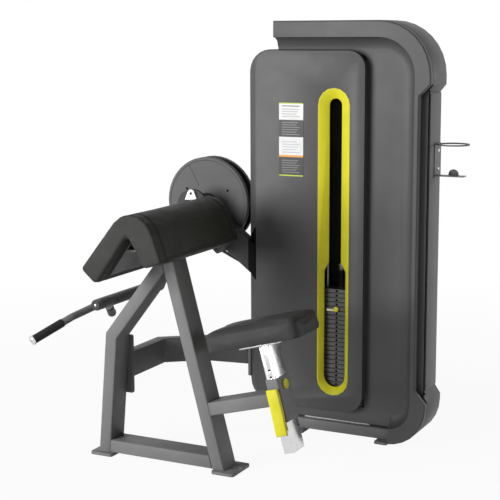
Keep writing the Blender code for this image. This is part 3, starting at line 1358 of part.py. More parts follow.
def build_inner_frame():
    for name, span in (("left_base_foot", BASE_FOOT_LEFT), ("right_base_foot", BASE_FOOT_RIGHT)):
        outline = rounded_box(*span, COVER_FRONT, COVER_INSIDE, 0.004, 3)
        hole = circle(sum(span) / 2, COVER_FRONT + 0.016, FOOT_HOLE, 16)
        plate(name, FLAT, outline, 0.0, FOOT_THICK, "frame_grey", holes=(hole,))
    low = FOOT_THICK + GAP
    z_span = (low, low + INNER_TUBE)
    for name, front in (("base_front_tube", BASE_FRONT_Y), ("base_rear_tube", FRAME_FRONT)):
        y_span = (front, front + INNER_TUBE)
        square_tube(name, SIDEWAYS, y_span, z_span, *BASE_X)
    floor = z_span[1] + GAP
    for name, start in (("left_upright", LEFT_UPRIGHT_X), ("right_upright", RIGHT_UPRIGHT_X)):
        x_span = (start, start + INNER_TUBE)
        square_tube(name, FLAT, x_span, (FRAME_FRONT, COVER_INSIDE), floor, UPRIGHT_TOP)
    x_span = (LEFT_UPRIGHT_X, RIGHT_UPRIGHT_X + INNER_TUBE)
    beam = square_tube("top_beam", SIDEWAYS, (FRAME_FRONT, COVER_INSIDE), TOP_BEAM_Z, *x_span)
    for index, x in enumerate(top_pulley_x()):
        profile = axle_profile(FRAME_FRONT + 0.002, -1)
        join(beam, along_y("top_axle_%d" % index, (x, PULLEY_TOP_Z), profile, None, SMALL_ROUND))

    outline = rounded_box(*STACK_BASE_X, STACK_BASE_FRONT, COVER_INSIDE, 0.004, 3)
    plate("stack_base_plate", FLAT, outline, floor, floor + STACK_BASE_THICK, "steel")
    plate_low = TOP_BEAM_Z[0] - GAP - ROD_PLATE
    outline = rounded_box(*ROD_PLATE_X, ROD_PLATE_Y, COVER_INSIDE, 0.004, 3)
    belt_slot = rounded_box(STACK_X - 0.008, STACK_X + 0.008, STACK_Y - 0.018, STACK_Y + 0.018, 0.004, 3)
    plate("rod_bracket", FLAT, outline, plate_low, plate_low + ROD_PLATE, "steel", holes=(belt_slot,))


# Weight stack

def standing(name, x, profile, look, steps=SMALL_ROUND):
    return turned(name, (x, STACK_Y, 0.0), (0, 0, 1), profile, look, steps)


def stack_block(name, first, count, look):
    """Plates from the bottom up as one grooved block with bores for the rods and the stem."""
    rings = []
    x_span = (STACK_X - PLATE_HALF_X, STACK_X + PLATE_HALF_X)
    y_span = (STACK_Y - PLATE_HALF_Y, STACK_Y + PLATE_HALF_Y)
    outline = rounded_box(*x_span, *y_span, 0.004, 1)
    waist = offset_loop(outline, PLATE_GROOVE_DEPTH)
    bottom = STACK_FOOT + first * PLATE_PITCH
    for index in range(count):
        low = bottom + index * PLATE_PITCH
        high = low + PLATE_PITCH - PLATE_GROOVE
        rings.append([Vector((a, b, low)) for a, b in outline])
        rings.append([Vector((a, b, high)) for a, b in outline])
        if index < count - 1:
            rings.append([Vector((a, b, high)) for a, b in waist])
            rings.append([Vector((a, b, low + PLATE_PITCH)) for a, b in waist])
    block = loft(name, rings, look)
    top = bottom + count * PLATE_PITCH
    bores = (
        ("left", STACK_X - ROD_OFFSET, ROD_RADIUS + ROD_CLEARANCE),
        ("right", STACK_X + ROD_OFFSET, ROD_RADIUS + ROD_CLEARANCE),
        ("stem", STACK_X, STEM_RADIUS + GAP),
    )
    for label, x, radius in bores:
        start = (x, STACK_Y, bottom - 0.01)
        cut(block, rod_tool(name + "_" + label + "_tool", start, (0, 0, 1), radius, top - bottom + 0.02))
    return block


def build_stack():
    resting = PLATES - LIFTED
    lower = stack_block("resting_plates", 0, resting, "frame_grey")
    upper = stack_block("lifted_plates", resting, LIFTED, "frame_grey")
    pin_z = STACK_FOOT + resting * PLATE_PITCH + (PLATE_PITCH - PLATE_GROOVE) / 2
    front = STACK_Y - PLATE_HALF_Y
    for body, first, count in ((lower, 0, resting), (upper, resting, LIFTED)):
        for index in range(first, first + count):
            height = STACK_FOOT + index * PLATE_PITCH + (PLATE_PITCH - PLATE_GROOVE) / 2
            start = (STACK_X, front - 0.01, height)
            length = STACK_Y - start[1]
            cut(body, rod_tool("plate_hole_tool_%d" % index, start, (0, 1, 0), PIN_HOLE, length, PIN_HOLE_STEPS))
    low, high = STEM_SPAN
    profile = (
        (0, low), (STEM_RADIUS, low), (STEM_RADIUS, high - 0.030), (STEM_HEAD, high - 0.028),
        (STEM_HEAD, high - 0.002), (STEM_HEAD - 0.002, high), (0, high),
    )
    stem = standing("stem", STACK_X, profile, "chrome")
    start = (STACK_X, STACK_Y - STEM_RADIUS - 0.005, pin_z)
    cut(stem, rod_tool("stem_hole_tool", start, (0, 1, 0), PIN_HOLE, 2 * STEM_RADIUS + 0.010, 12))

    # Pin along Y with a collar and a grip bar to one side
    collar = PIN_COLLAR
    profile = (
        (0, front - 0.008), (collar - 0.001, front - 0.008), (collar, front - 0.007), (collar, front - 0.001),
        (PIN_RADIUS, front - 0.001), (PIN_RADIUS, STACK_Y + STEM_RADIUS - 0.002),
        (0, STACK_Y + STEM_RADIUS),
    )
    pin = turned("selector_pin", (STACK_X, 0.0, pin_z), (0, 1, 0), profile, "yellow", 16)
    bar_at = (STACK_X + PIN_BAR_X[0], front - 0.0075, pin_z - 0.003)
    join(pin, rod_tool("pin_bar", bar_at, (1, 0, 0), PIN_BAR, PIN_BAR_X[1] - PIN_BAR_X[0], 12))

    rod_low = FOOT_THICK + 2 * GAP + INNER_TUBE + STACK_BASE_THICK + GAP
    rod_high = TOP_BEAM_Z[0] - ROD_PLATE - 2 * GAP
    for side_name, side in (("left", -1), ("right", 1)):
        x = STACK_X + side * ROD_OFFSET
        profile = ((0, rod_low), (ROD_RADIUS, rod_low), (ROD_RADIUS, rod_high), (0, rod_high))
        standing("guide_rod_" + side_name, x, profile, "chrome")
        top = STACK_FOOT - GAP
        inner = ROD_RADIUS + GAP
        profile = (
            (inner, rod_low), (BUFFER_RADIUS, rod_low), (BUFFER_RADIUS, top - 0.003),
            (BUFFER_RADIUS - 0.003, top), (inner, top),
        )
        standing("stack_buffer_" + side_name, x, profile, "black_rubber")


# Pulleys and belt

def pulley_profile():
    low = STACK_Y - PULLEY_WIDE / 2
    high = STACK_Y + PULLEY_WIDE / 2
    flange = 0.0018
    web = 0.006
    return (
        (PULLEY_BORE, low), (0.015, low), (0.015, low + web), (0.039, low + web), (0.039, low),
        (PULLEY_RADIUS, low), (PULLEY_RADIUS, low + flange), (PULLEY_GROOVE, low + flange),
        (PULLEY_GROOVE, high - flange), (PULLEY_RADIUS, high - flange), (PULLEY_RADIUS, high),
        (PULLEY_BORE, high),
    )


def flat_point(x, z):
    return Vector((x, STACK_Y, z))


def wrap(centre, radius, first, last, steps):
    return [flat_point(x, z) for x, z in arc(centre, radius, first, last, steps)]


def build_pulleys_and_belt():
    left, right = top_pulley_x()
    places = (
        ("pulley_low", PULLEY_LOW),
        ("pulley_top_left", (left, PULLEY_TOP_Z)),
        ("pulley_top_right", (right, PULLEY_TOP_Z)),
    )
    for name, centre in places:
        along_y(name, centre, pulley_profile(), "black_plastic", SMALL_ROUND)

    lift = BELT_CLEARANCE + BELT_THICK / 2
    drum = DRUM_RADIUS + lift
    groove = PULLEY_GROOVE + lift
    span = Vector(PULLEY_LOW) - Vector(PIVOT)
    heading = math.atan2(span.y, span.x)
    leave = heading - math.acos((drum - groove) / span.length) + 2 * math.pi
    path = wrap(PIVOT, drum, BELT_ANCHOR, leave, 5)
    path += wrap(PULLEY_LOW, groove, leave, 2 * math.pi, 8)
    path += wrap((left, PULLEY_TOP_Z), groove, math.pi, math.pi / 2, 7)
    path += wrap((right, PULLEY_TOP_Z), groove, math.pi / 2, 0.0, 7)
    section = rounded_box(-BELT_WIDE / 2, BELT_WIDE / 2, -BELT_THICK / 2, BELT_THICK / 2, 0.0)
    swept("belt_run", path, section, "black_rubber")
    low = STEM_SPAN[1] + GAP
    x_span = (STACK_X - BELT_THICK / 2, STACK_X + BELT_THICK / 2)
    y_span = (STACK_Y - BELT_WIDE / 2, STACK_Y + BELT_WIDE / 2)
    outline = rounded_box(*x_span, *y_span, 0.0)
    plate("belt_drop", FLAT, outline, low, PULLEY_TOP_Z - GAP, "black_rubber")


# Cup holder

def build_cup_holder():
    wall = SIDE_RECESS[1][1] + 2 * GAP + SHEET
    low, high = CUP_BRACKET_Z
    near, far = CUP_BRACKET_Y
    outline = rounded_box(near, far, low, high, 0.006, 3)
    bolts = [circle(CUP_BOLT_Y, height, CUP_BOLT_HOLE, 12) for height in CUP_BOLT_Z]
    holder = plate("cup_holder", SIDEWAYS, outline, wall, wall + SHEET, "steel", holes=bolts)
    # Ring of round bar with a tab back to the bracket
    x, y = CUP_CENTRE
    section = circle(CUP_RADIUS, CUP_RING_Z, CUP_ROD, 6)
    ring = turned("cup_ring", (x, y, 0.0), (0, 0, 1), section, None, 28)
    join(holder, ring)
    tab = rounded_box(wall + 0.001, x - CUP_RADIUS, y - CUP_TAB_HALF, y + CUP_TAB_HALF, 0.0)
    tab_low = CUP_RING_Z - CUP_TAB_THICK / 2
    join(holder, plate("cup_tab", FLAT, tab, tab_low, tab_low + CUP_TAB_THICK, None))
    # Shelf under the cup, its outer end folded up into a half disc
    half = CUP_SHELF_HALF
    shelf_end = x + CUP_RADIUS - CUP_SHELF_SHORT
    shelf_low = low + 0.004
    shelf = rounded_box(wall + 0.001, shelf_end, y - half, y + half, 0.0)
    join(holder, plate("cup_shelf", FLAT, shelf, shelf_low, shelf_low + SHEET, None))
    lip = [(y - half, shelf_low)]
    lip += arc((y, shelf_low + 0.004), half, math.pi, 0.0, 10)
    lip.append((y + half, shelf_low))
    join(holder, plate("cup_lip", SIDEWAYS, lip, shelf_end - SHEET, shelf_end, None))


def seat_point(a, b, along):
    return SEAT @ Vector((a, b, along))


def joint_axes():
    """Each moving body's empty: name, parent empty, a point on its axis, its pieces."""
    left, right = top_pulley_x()
    pivot = (PIVOT[0], BEARING_Y[0], PIVOT[1])
    pin_z = STACK_FOOT + (PLATES - LIFTED) * PLATE_PITCH + (PLATE_PITCH - PLATE_GROOVE) / 2
    lever = ("lever_arm", "cross_tube", "yoke_end_bush", "pivot_shaft", "cam_drum", "cam_front_disc")
    handle = ("handle_yoke", "grip_near", "grip_far", "grip_cap_near", "grip_cap_far")
    lock_at = seat_point(0.0, -TUBE_WIDE / 2 - LOCK_AXIS_OUT, LOCK_PIVOT)
    return (
        ("lever_axis", None, pivot, lever),
        ("handle_axis", "lever_axis", (CROSS[0], 0.0, CROSS[1]), handle),
        ("stack_axis", None, (STACK_X, STACK_Y, STACK_FOOT), ("lifted_plates", "stem")),
        ("pin_axis", "stack_axis", (STACK_X, STACK_Y, pin_z), ("selector_pin",)),
        ("seat_axis", None, seat_point(0.0, 0.0, 0.0), ("seat_post", "seat_plate", "seat_pad")),
        ("lock_axis", None, lock_at, ("seat_lock_lever",)),
        ("pulley_low_axis", None, flat_point(*PULLEY_LOW), ("pulley_low",)),
        ("pulley_top_left_axis", None, flat_point(left, PULLEY_TOP_Z), ("pulley_top_left",)),
        ("pulley_top_right_axis", None, flat_point(right, PULLEY_TOP_Z), ("pulley_top_right",)),
    )


def hang_on_axes():
    """Hangs the moving pieces from empties on their joint axes, where they already stand."""
    points = {None: Vector((0.0, 0.0, 0.0))}
    empties = {None: root}
    for name, carrier, point, pieces in joint_axes():
        axis = bpy.data.objects.new(name, None)
        bpy.context.collection.objects.link(axis)
        axis.parent = empties[carrier]
        axis.location = Vector(point) - points[carrier]
        empties[name] = axis
        points[name] = Vector(point)
        for piece in pieces:
            body = bpy.data.objects[piece]
            body.parent = axis
            body.location -= points[name]


def settle():
    """Puts the middle of the machine's box, at floor level, on the origin."""
    bpy.context.view_layer.update()
    low = [math.inf] * 3
    high = [-math.inf] * 3
    graph = bpy.context.evaluated_depsgraph_get()
    for body in bpy.context.scene.objects:
        if body.type != "MESH" or body.hide_render:
            continue
        shape = body.evaluated_get(graph)
        for corner in shape.bound_box:
            point = shape.matrix_world @ Vector(corner)
            for axis in range(3):
                low[axis] = min(low[axis], point[axis])
                high[axis] = max(high[axis], point[axis])
    root.location = (-(low[0] + high[0]) / 2, -(low[1] + high[1]) / 2, -low[2])


build_a_frame()
build_seat_support()
build_seat()
build_lock_lever()
build_arm_pad()
build_arm_pad_frame()
build_link_beam()
build_lever()
build_yoke()
build_pivot()
build_housing()
build_support_beam()
build_drum()
build_front_cover()
build_rear_cover()
build_side_strips()
build_raised_panel()
build_slot_ring()
build_left_side_cover()
build_beam_gland()
build_inner_frame()
build_stack()
build_pulleys_and_belt()
build_cup_holder()
hang_on_axes()
settle()
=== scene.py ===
import math

import bpy
from mathutils import Matrix, Vector
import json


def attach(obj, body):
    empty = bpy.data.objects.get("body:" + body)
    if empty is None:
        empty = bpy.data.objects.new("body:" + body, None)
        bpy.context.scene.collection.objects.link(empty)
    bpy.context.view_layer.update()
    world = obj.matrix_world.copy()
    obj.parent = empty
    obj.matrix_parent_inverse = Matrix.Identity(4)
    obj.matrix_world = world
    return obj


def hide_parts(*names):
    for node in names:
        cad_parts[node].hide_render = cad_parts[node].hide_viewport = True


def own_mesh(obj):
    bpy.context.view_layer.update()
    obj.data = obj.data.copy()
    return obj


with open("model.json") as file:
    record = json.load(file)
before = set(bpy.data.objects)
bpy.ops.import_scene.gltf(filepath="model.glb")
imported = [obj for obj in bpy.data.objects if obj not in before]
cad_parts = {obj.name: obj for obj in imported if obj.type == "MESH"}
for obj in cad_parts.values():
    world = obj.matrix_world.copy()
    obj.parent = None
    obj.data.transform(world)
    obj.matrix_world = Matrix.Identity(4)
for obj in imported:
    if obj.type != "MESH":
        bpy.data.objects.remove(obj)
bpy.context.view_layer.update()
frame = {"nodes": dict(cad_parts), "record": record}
bodies = frame["record"]["behaviour"]["bodies"]
body_of_node = {node: body for body, nodes in bodies.items() for node in nodes}

# Camera
# It stands well back in front of the seat, to the tower's side, a little above the seat and
# level but for a slight tilt, with a long lens.
camera_data = bpy.data.cameras.new("camera")
camera_data.lens = 92.69
camera_data.sensor_width = 36.0
camera = bpy.data.objects.new("camera", camera_data)
bpy.context.scene.collection.objects.link(camera)
camera_turn = Matrix.Rotation(math.radians(26.71), 4, "Z")
camera_down = Matrix.Rotation(math.radians(90.0 - 9.575), 4, "X")
camera_roll = Matrix.Rotation(math.radians(-0.243), 4, "Z")
part_to_scene = Vector((-0.055802, -0.19325, 0.0))
camera_place = Matrix.Translation(Vector((2.0, -3.695, 1.4583)) + part_to_scene)
camera.matrix_world = camera_place @ camera_turn @ camera_down @ camera_roll
bpy.context.scene.camera = camera
bpy.context.scene.view_settings.view_transform = "Standard"

# Floor and light
# A white studio sweep. One broad lamp stands in front on the left, a smaller one behind on the
# right, and a low even light comes from all round.


def lamp(name, place, target, size, watts):
    """A square lamp that stands at a place and faces a target."""
    data = bpy.data.lights.new(name, "AREA")
    data.shape = "SQUARE"
    data.size = size
    data.energy = watts
    light = bpy.data.objects.new(name, data)
    bpy.context.scene.collection.objects.link(light)
    light.location = place
    light.rotation_euler = (Vector(target) - Vector(place)).to_track_quat("-Z", "Y").to_euler()


lamp("front_lamp", (-2.3, -4.06, 1.6), (0.1, 0.1, 0.8), 2.4, 285.0)
lamp("side_lamp", (3.5, 2.4, 1.3), (0.57, 0.3, 0.9), 1.2, 45.0)

studio = bpy.data.worlds.new("studio")
bpy.context.scene.world = studio
studio.use_nodes = True
sky = studio.node_tree
sky.nodes.clear()
seen = sky.nodes.new("ShaderNodeLightPath")
seen_or_mirrored = sky.nodes.new("ShaderNodeMath")
seen_or_mirrored.operation = "MAXIMUM"
sky.links.new(seen.outputs["Is Camera Ray"], seen_or_mirrored.inputs[0])
sky.links.new(seen.outputs["Is Glossy Ray"], seen_or_mirrored.inputs[1])
seen_at_all = sky.nodes.new("ShaderNodeMath")
seen_at_all.operation = "MAXIMUM"
sky.links.new(seen_or_mirrored.outputs[0], seen_at_all.inputs[0])
sky.links.new(seen.outputs["Is Transmission Ray"], seen_at_all.inputs[1])
soft_light = sky.nodes.new("ShaderNodeBackground")
soft_light.inputs["Strength"].default_value = 0.2
white_sweep = sky.nodes.new("ShaderNodeBackground")
white_sweep.inputs["Color"].default_value = (1.0, 1.0, 1.0, 1.0)
white_sweep.inputs["Strength"].default_value = 1.0
chosen = sky.nodes.new("ShaderNodeMixShader")
sky_out = sky.nodes.new("ShaderNodeOutputWorld")
sky.links.new(seen_at_all.outputs[0], chosen.inputs["Fac"])
sky.links.new(soft_light.outputs[0], chosen.inputs[1])
sky.links.new(white_sweep.outputs[0], chosen.inputs[2])
sky.links.new(chosen.outputs[0], sky_out.inputs["Surface"])

bpy.ops.object.select_all(action="DESELECT")
bpy.ops.mesh.primitive_plane_add(size=40.0, location=(0.0, 0.0, -0.0004))
floor = bpy.context.object
floor.name = "studio_floor"
floor_white = bpy.data.materials.new("floor_white")
floor_white.use_nodes = True
tree = floor_white.node_tree
tree.nodes.clear()
matt = tree.nodes.new("ShaderNodeBsdfDiffuse")
matt.inputs["Color"].default_value = (0.8, 0.8, 0.8, 1.0)
glow = tree.nodes.new("ShaderNodeEmission")
glow.inputs["Color"].default_value = (1.0, 1.0, 1.0, 1.0)
glow.inputs["Strength"].default_value = 1.0
path = tree.nodes.new("ShaderNodeLightPath")
share = tree.nodes.new("ShaderNodeMath")
share.operation = "MAXIMUM"
tree.links.new(path.outputs["Is Camera Ray"], share.inputs[0])
tree.links.new(path.outputs["Is Glossy Ray"], share.inputs[1])
lift = tree.nodes.new("ShaderNodeMath")
lift.operation = "MULTIPLY"
tree.links.new(share.outputs[0], lift.inputs[0])
floor_place = tree.nodes.new("ShaderNodeTexCoord")
from_middle = tree.nodes.new("ShaderNodeVectorMath")
from_middle.operation = "LENGTH"
fade = tree.nodes.new("ShaderNodeMapRange")
fade.inputs["From Min"].default_value = 1.2
fade.inputs["From Max"].default_value = 3.5
fade.inputs["To Min"].default_value = 0.93
fade.inputs["To Max"].default_value = 1.0
tree.links.new(floor_place.outputs["Object"], from_middle.inputs[0])
tree.links.new(from_middle.outputs["Value"], fade.inputs["Value"])
tree.links.new(fade.outputs["Result"], lift.inputs[1])
mixed = tree.nodes.new("ShaderNodeMixShader")
floor_out = tree.nodes.new("ShaderNodeOutputMaterial")
tree.links.new(lift.outputs[0], mixed.inputs["Fac"])
tree.links.new(matt.outputs[0], mixed.inputs[1])
tree.links.new(glow.outputs[0], mixed.inputs[2])
tree.links.new(mixed.outputs[0], floor_out.inputs["Surface"])
floor.data.materials.append(floor_white)

# A-frame
# Two legs and a low beam of 45 x 90 mm steel tube, welded up and powder coated dark grey. The
# coat has a fine texture with a little wear on the edges.


def only(piece):
    """Selects this piece alone and makes it active."""
    bpy.ops.object.select_all(action="DESELECT")
    piece.select_set(True)
    bpy.context.view_layer.objects.active = piece


def ease(piece, width, segments=2, angle=38.0):
    """Rounds the piece's sharp edges a little."""
    only(piece)
    bevel = piece.modifiers.new("eased_edges", "BEVEL")
    bevel.width = width
    bevel.segments = segments
    bevel.limit_method = "ANGLE"
    bevel.angle_limit = math.radians(angle)
    bpy.ops.object.modifier_apply(modifier=bevel.name)


def smooth_copy(node, name, eased=0.0006, angle=38.0):
    """A copy of a solid, merged, with its edges eased and its round faces smooth."""
    piece = bpy.data.objects.new(name, frame["nodes"][node].data.copy())
    bpy.context.scene.collection.objects.link(piece)
    only(piece)
    bpy.ops.object.mode_set(mode="EDIT")
    bpy.ops.mesh.select_all(action="SELECT")
    bpy.ops.mesh.remove_doubles(threshold=0.00002)
    bpy.ops.mesh.dissolve_limited(angle_limit=math.radians(0.4))
    bpy.ops.object.mode_set(mode="OBJECT")
    if eased:
        ease(piece, eased, angle=angle)
    bpy.ops.object.shade_smooth_by_angle(angle=math.radians(angle))
    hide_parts(node)
    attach(piece, body_of_node[node])
    return piece


def coat(piece, finish):
    """Gives the piece one finish in place of any it had."""
    piece.data.materials.clear()
    piece.data.materials.append(finish)


def new_finish(name, roughness, metallic=0.0, specular=0.5):
    """A material with its node tree and its shader."""
    finish = bpy.data.materials.new(name)
    finish.use_nodes = True
    shader = finish.node_tree.nodes["Principled BSDF"]
    shader.inputs["Roughness"].default_value = roughness
    shader.inputs["Metallic"].default_value = metallic
    shader.inputs["Specular IOR Level"].default_value = specular
    return finish, finish.node_tree, shader


def mottle(tree, size, low, high, detail=3.0, stretch=(1.0, 1.0, 1.0)):
    """Noise with features of a size in metres, spread between two values."""
    place = tree.nodes.new("ShaderNodeTexCoord")
    laid = tree.nodes.new("ShaderNodeMapping")
    laid.inputs["Scale"].default_value = stretch
    noise = tree.nodes.new("ShaderNodeTexNoise")
    noise.inputs["Scale"].default_value = 1.0 / size
    noise.inputs["Detail"].default_value = detail
    spread = tree.nodes.new("ShaderNodeMapRange")
    spread.inputs["From Min"].default_value = 0.3
    spread.inputs["From Max"].default_value = 0.7
    spread.inputs["To Min"].default_value = low
    spread.inputs["To Max"].default_value = high
    tree.links.new(place.outputs["Object"], laid.inputs["Vector"])
    tree.links.new(laid.outputs["Vector"], noise.inputs["Vector"])
    tree.links.new(noise.outputs["Fac"], spread.inputs["Value"])
    return spread.outputs["Result"]


def blend_colours(tree, amount, first, second):
    """A colour between two others; each is a socket or three numbers."""
    mix = tree.nodes.new("ShaderNodeMix")
    mix.data_type = "RGBA"
    for name, colour in (("A", first), ("B", second)):
        if isinstance(colour, tuple):
            mix.inputs[name].default_value = (*colour, 1.0)
        else:
            tree.links.new(colour, mix.inputs[name])
    tree.links.new(amount, mix.inputs["Factor"])
    return mix.outputs["Result"]


def shade_between(tree, shader, dark, light, amount):
    """Base colour that wanders between two shades."""
    colour = blend_colours(tree, amount, dark, light)
    tree.links.new(colour, shader.inputs["Base Color"])
    return colour


def raise_surface(tree, shader, height, depth):
    """Fine relief of a depth in metres."""
    bump = tree.nodes.new("ShaderNodeBump")
    bump.inputs["Distance"].default_value = depth
    bump.inputs["Strength"].default_value = 1.0
    tree.links.new(height, bump.inputs["Height"])
    tree.links.new(bump.outputs["Normal"], shader.inputs["Normal"])


def rub_edges(tree, shader, colour, rubbed, width):
    """Lets a lighter rubbed shade show where the surface turns sharply."""
    eased = tree.nodes.new("ShaderNodeBevel")
    eased.inputs["Radius"].default_value = width
    flat = tree.nodes.new("ShaderNodeNewGeometry")
    turn = tree.nodes.new("ShaderNodeVectorMath")
    turn.operation = "DOT_PRODUCT"
    tree.links.new(eased.outputs["Normal"], turn.inputs[0])
    tree.links.new(flat.outputs["Normal"], turn.inputs[1])
    edge = tree.nodes.new("ShaderNodeMapRange")
    edge.inputs["From Min"].default_value = 0.985
    edge.inputs["From Max"].default_value = 0.90
    edge.inputs["To Min"].default_value = 0.0
    edge.inputs["To Max"].default_value = 0.55
    tree.links.new(turn.outputs["Value"], edge.inputs["Value"])
    patchy = tree.nodes.new("ShaderNodeMath")
    patchy.operation = "MULTIPLY"
    tree.links.new(edge.outputs["Result"], patchy.inputs[0])
    tree.links.new(mottle(tree, 0.03, 0.2, 1.0), patchy.inputs[1])
    rubbed_colour = blend_colours(tree, patchy.outputs[0], colour, rubbed)
    tree.links.new(rubbed_colour, shader.inputs["Base Color"])


frame_coat, tree, shader = new_finish("frame_coat", 0.5, specular=0.15)
wander = mottle(tree, 0.16, 0.0, 1.0)
colour = shade_between(tree, shader, (0.146, 0.146, 0.148), (0.170, 0.170, 0.172), wander)
rub_edges(tree, shader, colour, (0.25, 0.25, 0.26), 0.002)
raise_surface(tree, shader, mottle(tree, 0.0016, 0.0, 1.0, 2.0), 0.00006)
tree.links.new(mottle(tree, 0.05, 0.44, 0.54), shader.inputs["Roughness"])

for node in ("front_leg", "rear_leg", "low_beam", "front_foot", "rear_foot"):
    coat(smooth_copy(node, node + "_painted"), frame_coat)

# Seat carrier
# A short beam welded to the rear leg holds a square sleeve for the seat post. Both are coated
# like the legs.
for node in ("seat_beam", "seat_sleeve"):
    coat(smooth_copy(node, node + "_painted"), frame_coat)

# Arm pad carrier
# A steel plate folded like a roof under the cushion and welded to the top of the rear leg. It
# has the legs' coat.
coat(smooth_copy("arm_pad_frame", "pad_carrier_painted"), frame_coat)

# Link beam
# Bent steel tube that ties the front leg to the tower, with a flange welded on each end and
# the legs' coat. The flange at the leg is drawn narrower than in the solid.
link_beam = smooth_copy("link_beam", "link_beam_painted", 0.0)
flange_x = -0.3755 + part_to_scene.x
flange_front = -0.1375
tube_half = 0.030


def on_leg_flange(point):
    """True on the flange's long edges and corners, which stand out beside the tube."""
    return point.y < flange_front and abs(point.x - flange_x) > tube_half


def pick_points(piece, wanted):
    """Leaves the piece in edit mode with just the wanted points selected."""
    only(piece)
    bpy.ops.object.mode_set(mode="EDIT")
    bpy.ops.mesh.select_mode(type="VERT")
    bpy.ops.mesh.select_all(action="DESELECT")
    bpy.ops.object.mode_set(mode="OBJECT")
    for vertex in piece.data.vertices:
        vertex.select = wanted(vertex.co)
    bpy.ops.object.mode_set(mode="EDIT")


pick_points(link_beam, on_leg_flange)
bpy.ops.transform.resize(value=(0.66, 1.0, 1.0), center_override=(flange_x, 0.0, 0.0))
bpy.ops.object.mode_set(mode="OBJECT")
coat(link_beam, frame_coat)

# Curl lever
# Flat steel arm, cross tube and swivelling handle yoke, all welded and powder coated. The arm
# is nearly black, and a black nylon bush closes the yoke's end.
for node in ("cross_tube", "handle_yoke"):
    coat(smooth_copy(node, node + "_painted", 0.0005), frame_coat)
lever_coat, tree, shader = new_finish("lever_coat", 0.5, specular=0.12)
wander = mottle(tree, 0.1, 0.0, 1.0)
colour = shade_between(tree, shader, (0.040, 0.040, 0.041), (0.052, 0.052, 0.053), wander)
rub_edges(tree, shader, colour, (0.12, 0.12, 0.12), 0.002)
raise_surface(tree, shader, mottle(tree, 0.0016, 0.0, 1.0, 2.0), 0.00006)
coat(smooth_copy("lever_arm", "lever_arm_painted", 0.0005), lever_coat)

black_nylon, tree, shader = new_finish("black_nylon", 0.5, specular=0.3)
shade_between(tree, shader, (0.014, 0.014, 0.015), (0.026, 0.026, 0.027), mottle(tree, 0.02, 0.0, 1.0))
raise_surface(tree, shader, mottle(tree, 0.0008, 0.0, 1.0, 2.0), 0.00003)
coat(smooth_copy("yoke_end_bush", "end_bush_moulded", 0.0), black_nylon)

# Screws
# Socket screws hold the bearing, the drum disc, the yoke and the cup holder. One is turned
# from round bar with a recessed drive, and the others are copies of it.


def pick_faces(piece, wanted):
    """Leaves the piece in edit mode with just the wanted faces selected."""
    only(piece)
    bpy.ops.object.mode_set(mode="EDIT")
    bpy.ops.mesh.select_mode(type="FACE")
    bpy.ops.mesh.select_all(action="DESELECT")
    bpy.ops.object.mode_set(mode="OBJECT")
    for face in piece.data.polygons:
        face.select = wanted(face)
    bpy.ops.object.mode_set(mode="EDIT")


def settle_piece(piece, body, finish, angle=38.0):
    """Applies the piece's place to its mesh, smooths it, then gives it its finish and its body."""
    only(piece)
    bpy.ops.object.transform_apply(location=True, rotation=True, scale=True)
    bpy.ops.object.shade_smooth_by_angle(angle=math.radians(angle))
    coat(piece, finish)
    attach(piece, body)


def copy_of(piece, name, turn, place, size=1.0):
    """A copy with its own mesh, stood at a place and turned."""
    twin = bpy.data.objects.new(name, piece.data.copy())
    bpy.context.scene.collection.objects.link(twin)
    twin.data.transform(Matrix.Translation(place) @ turn @ Matrix.Scale(size, 4))
    return twin


zinc_steel, tree, shader = new_finish("zinc_steel", 0.32, metallic=1.0)
shade_between(tree, shader, (0.58, 0.58, 0.59), (0.74, 0.74, 0.74), mottle(tree, 0.006, 0.0, 1.0))
tree.links.new(mottle(tree, 0.004, 0.26, 0.42), shader.inputs["Roughness"])
black_oxide, tree, shader = new_finish("black_oxide", 0.5, specular=0.15)
shade_between(tree, shader, (0.004, 0.004, 0.004), (0.012, 0.012, 0.012), mottle(tree, 0.005, 0.0, 1.0))
tree.links.new(mottle(tree, 0.004, 0.34, 0.50), shader.inputs["Roughness"])

bpy.ops.object.select_all(action="DESELECT")
bpy.ops.mesh.primitive_cylinder_add(vertices=24, radius=0.006, depth=0.005, location=(0.0, 0.0, 0.0025))
screw = bpy.context.object
screw.name = "cup_holder_screw_upper"
pick_faces(screw, lambda face: face.normal.z > 0.9)
bpy.ops.mesh.inset(thickness=0.0012)
bpy.ops.transform.translate(value=(0.0, 0.0, 0.0012))
bpy.ops.mesh.inset(thickness=0.0018)
bpy.ops.mesh.extrude_region_move(TRANSFORM_OT_translate={"value": (0.0, 0.0, -0.0028)})
bpy.ops.object.mode_set(mode="OBJECT")
ease(screw, 0.0003, 1)

facing_front = Matrix.Rotation(math.radians(90.0), 4, "X")
facing_right = Matrix.Rotation(math.radians(90.0), 4, "Y")


def screw_at(name, turn, place, body, finish, size=1.0):
    """A copy of the screw at a place in the part's own coordinates."""
    twin = copy_of(screw, name, turn, Vector(place) + part_to_scene, size)
    settle_piece(twin, body, finish)


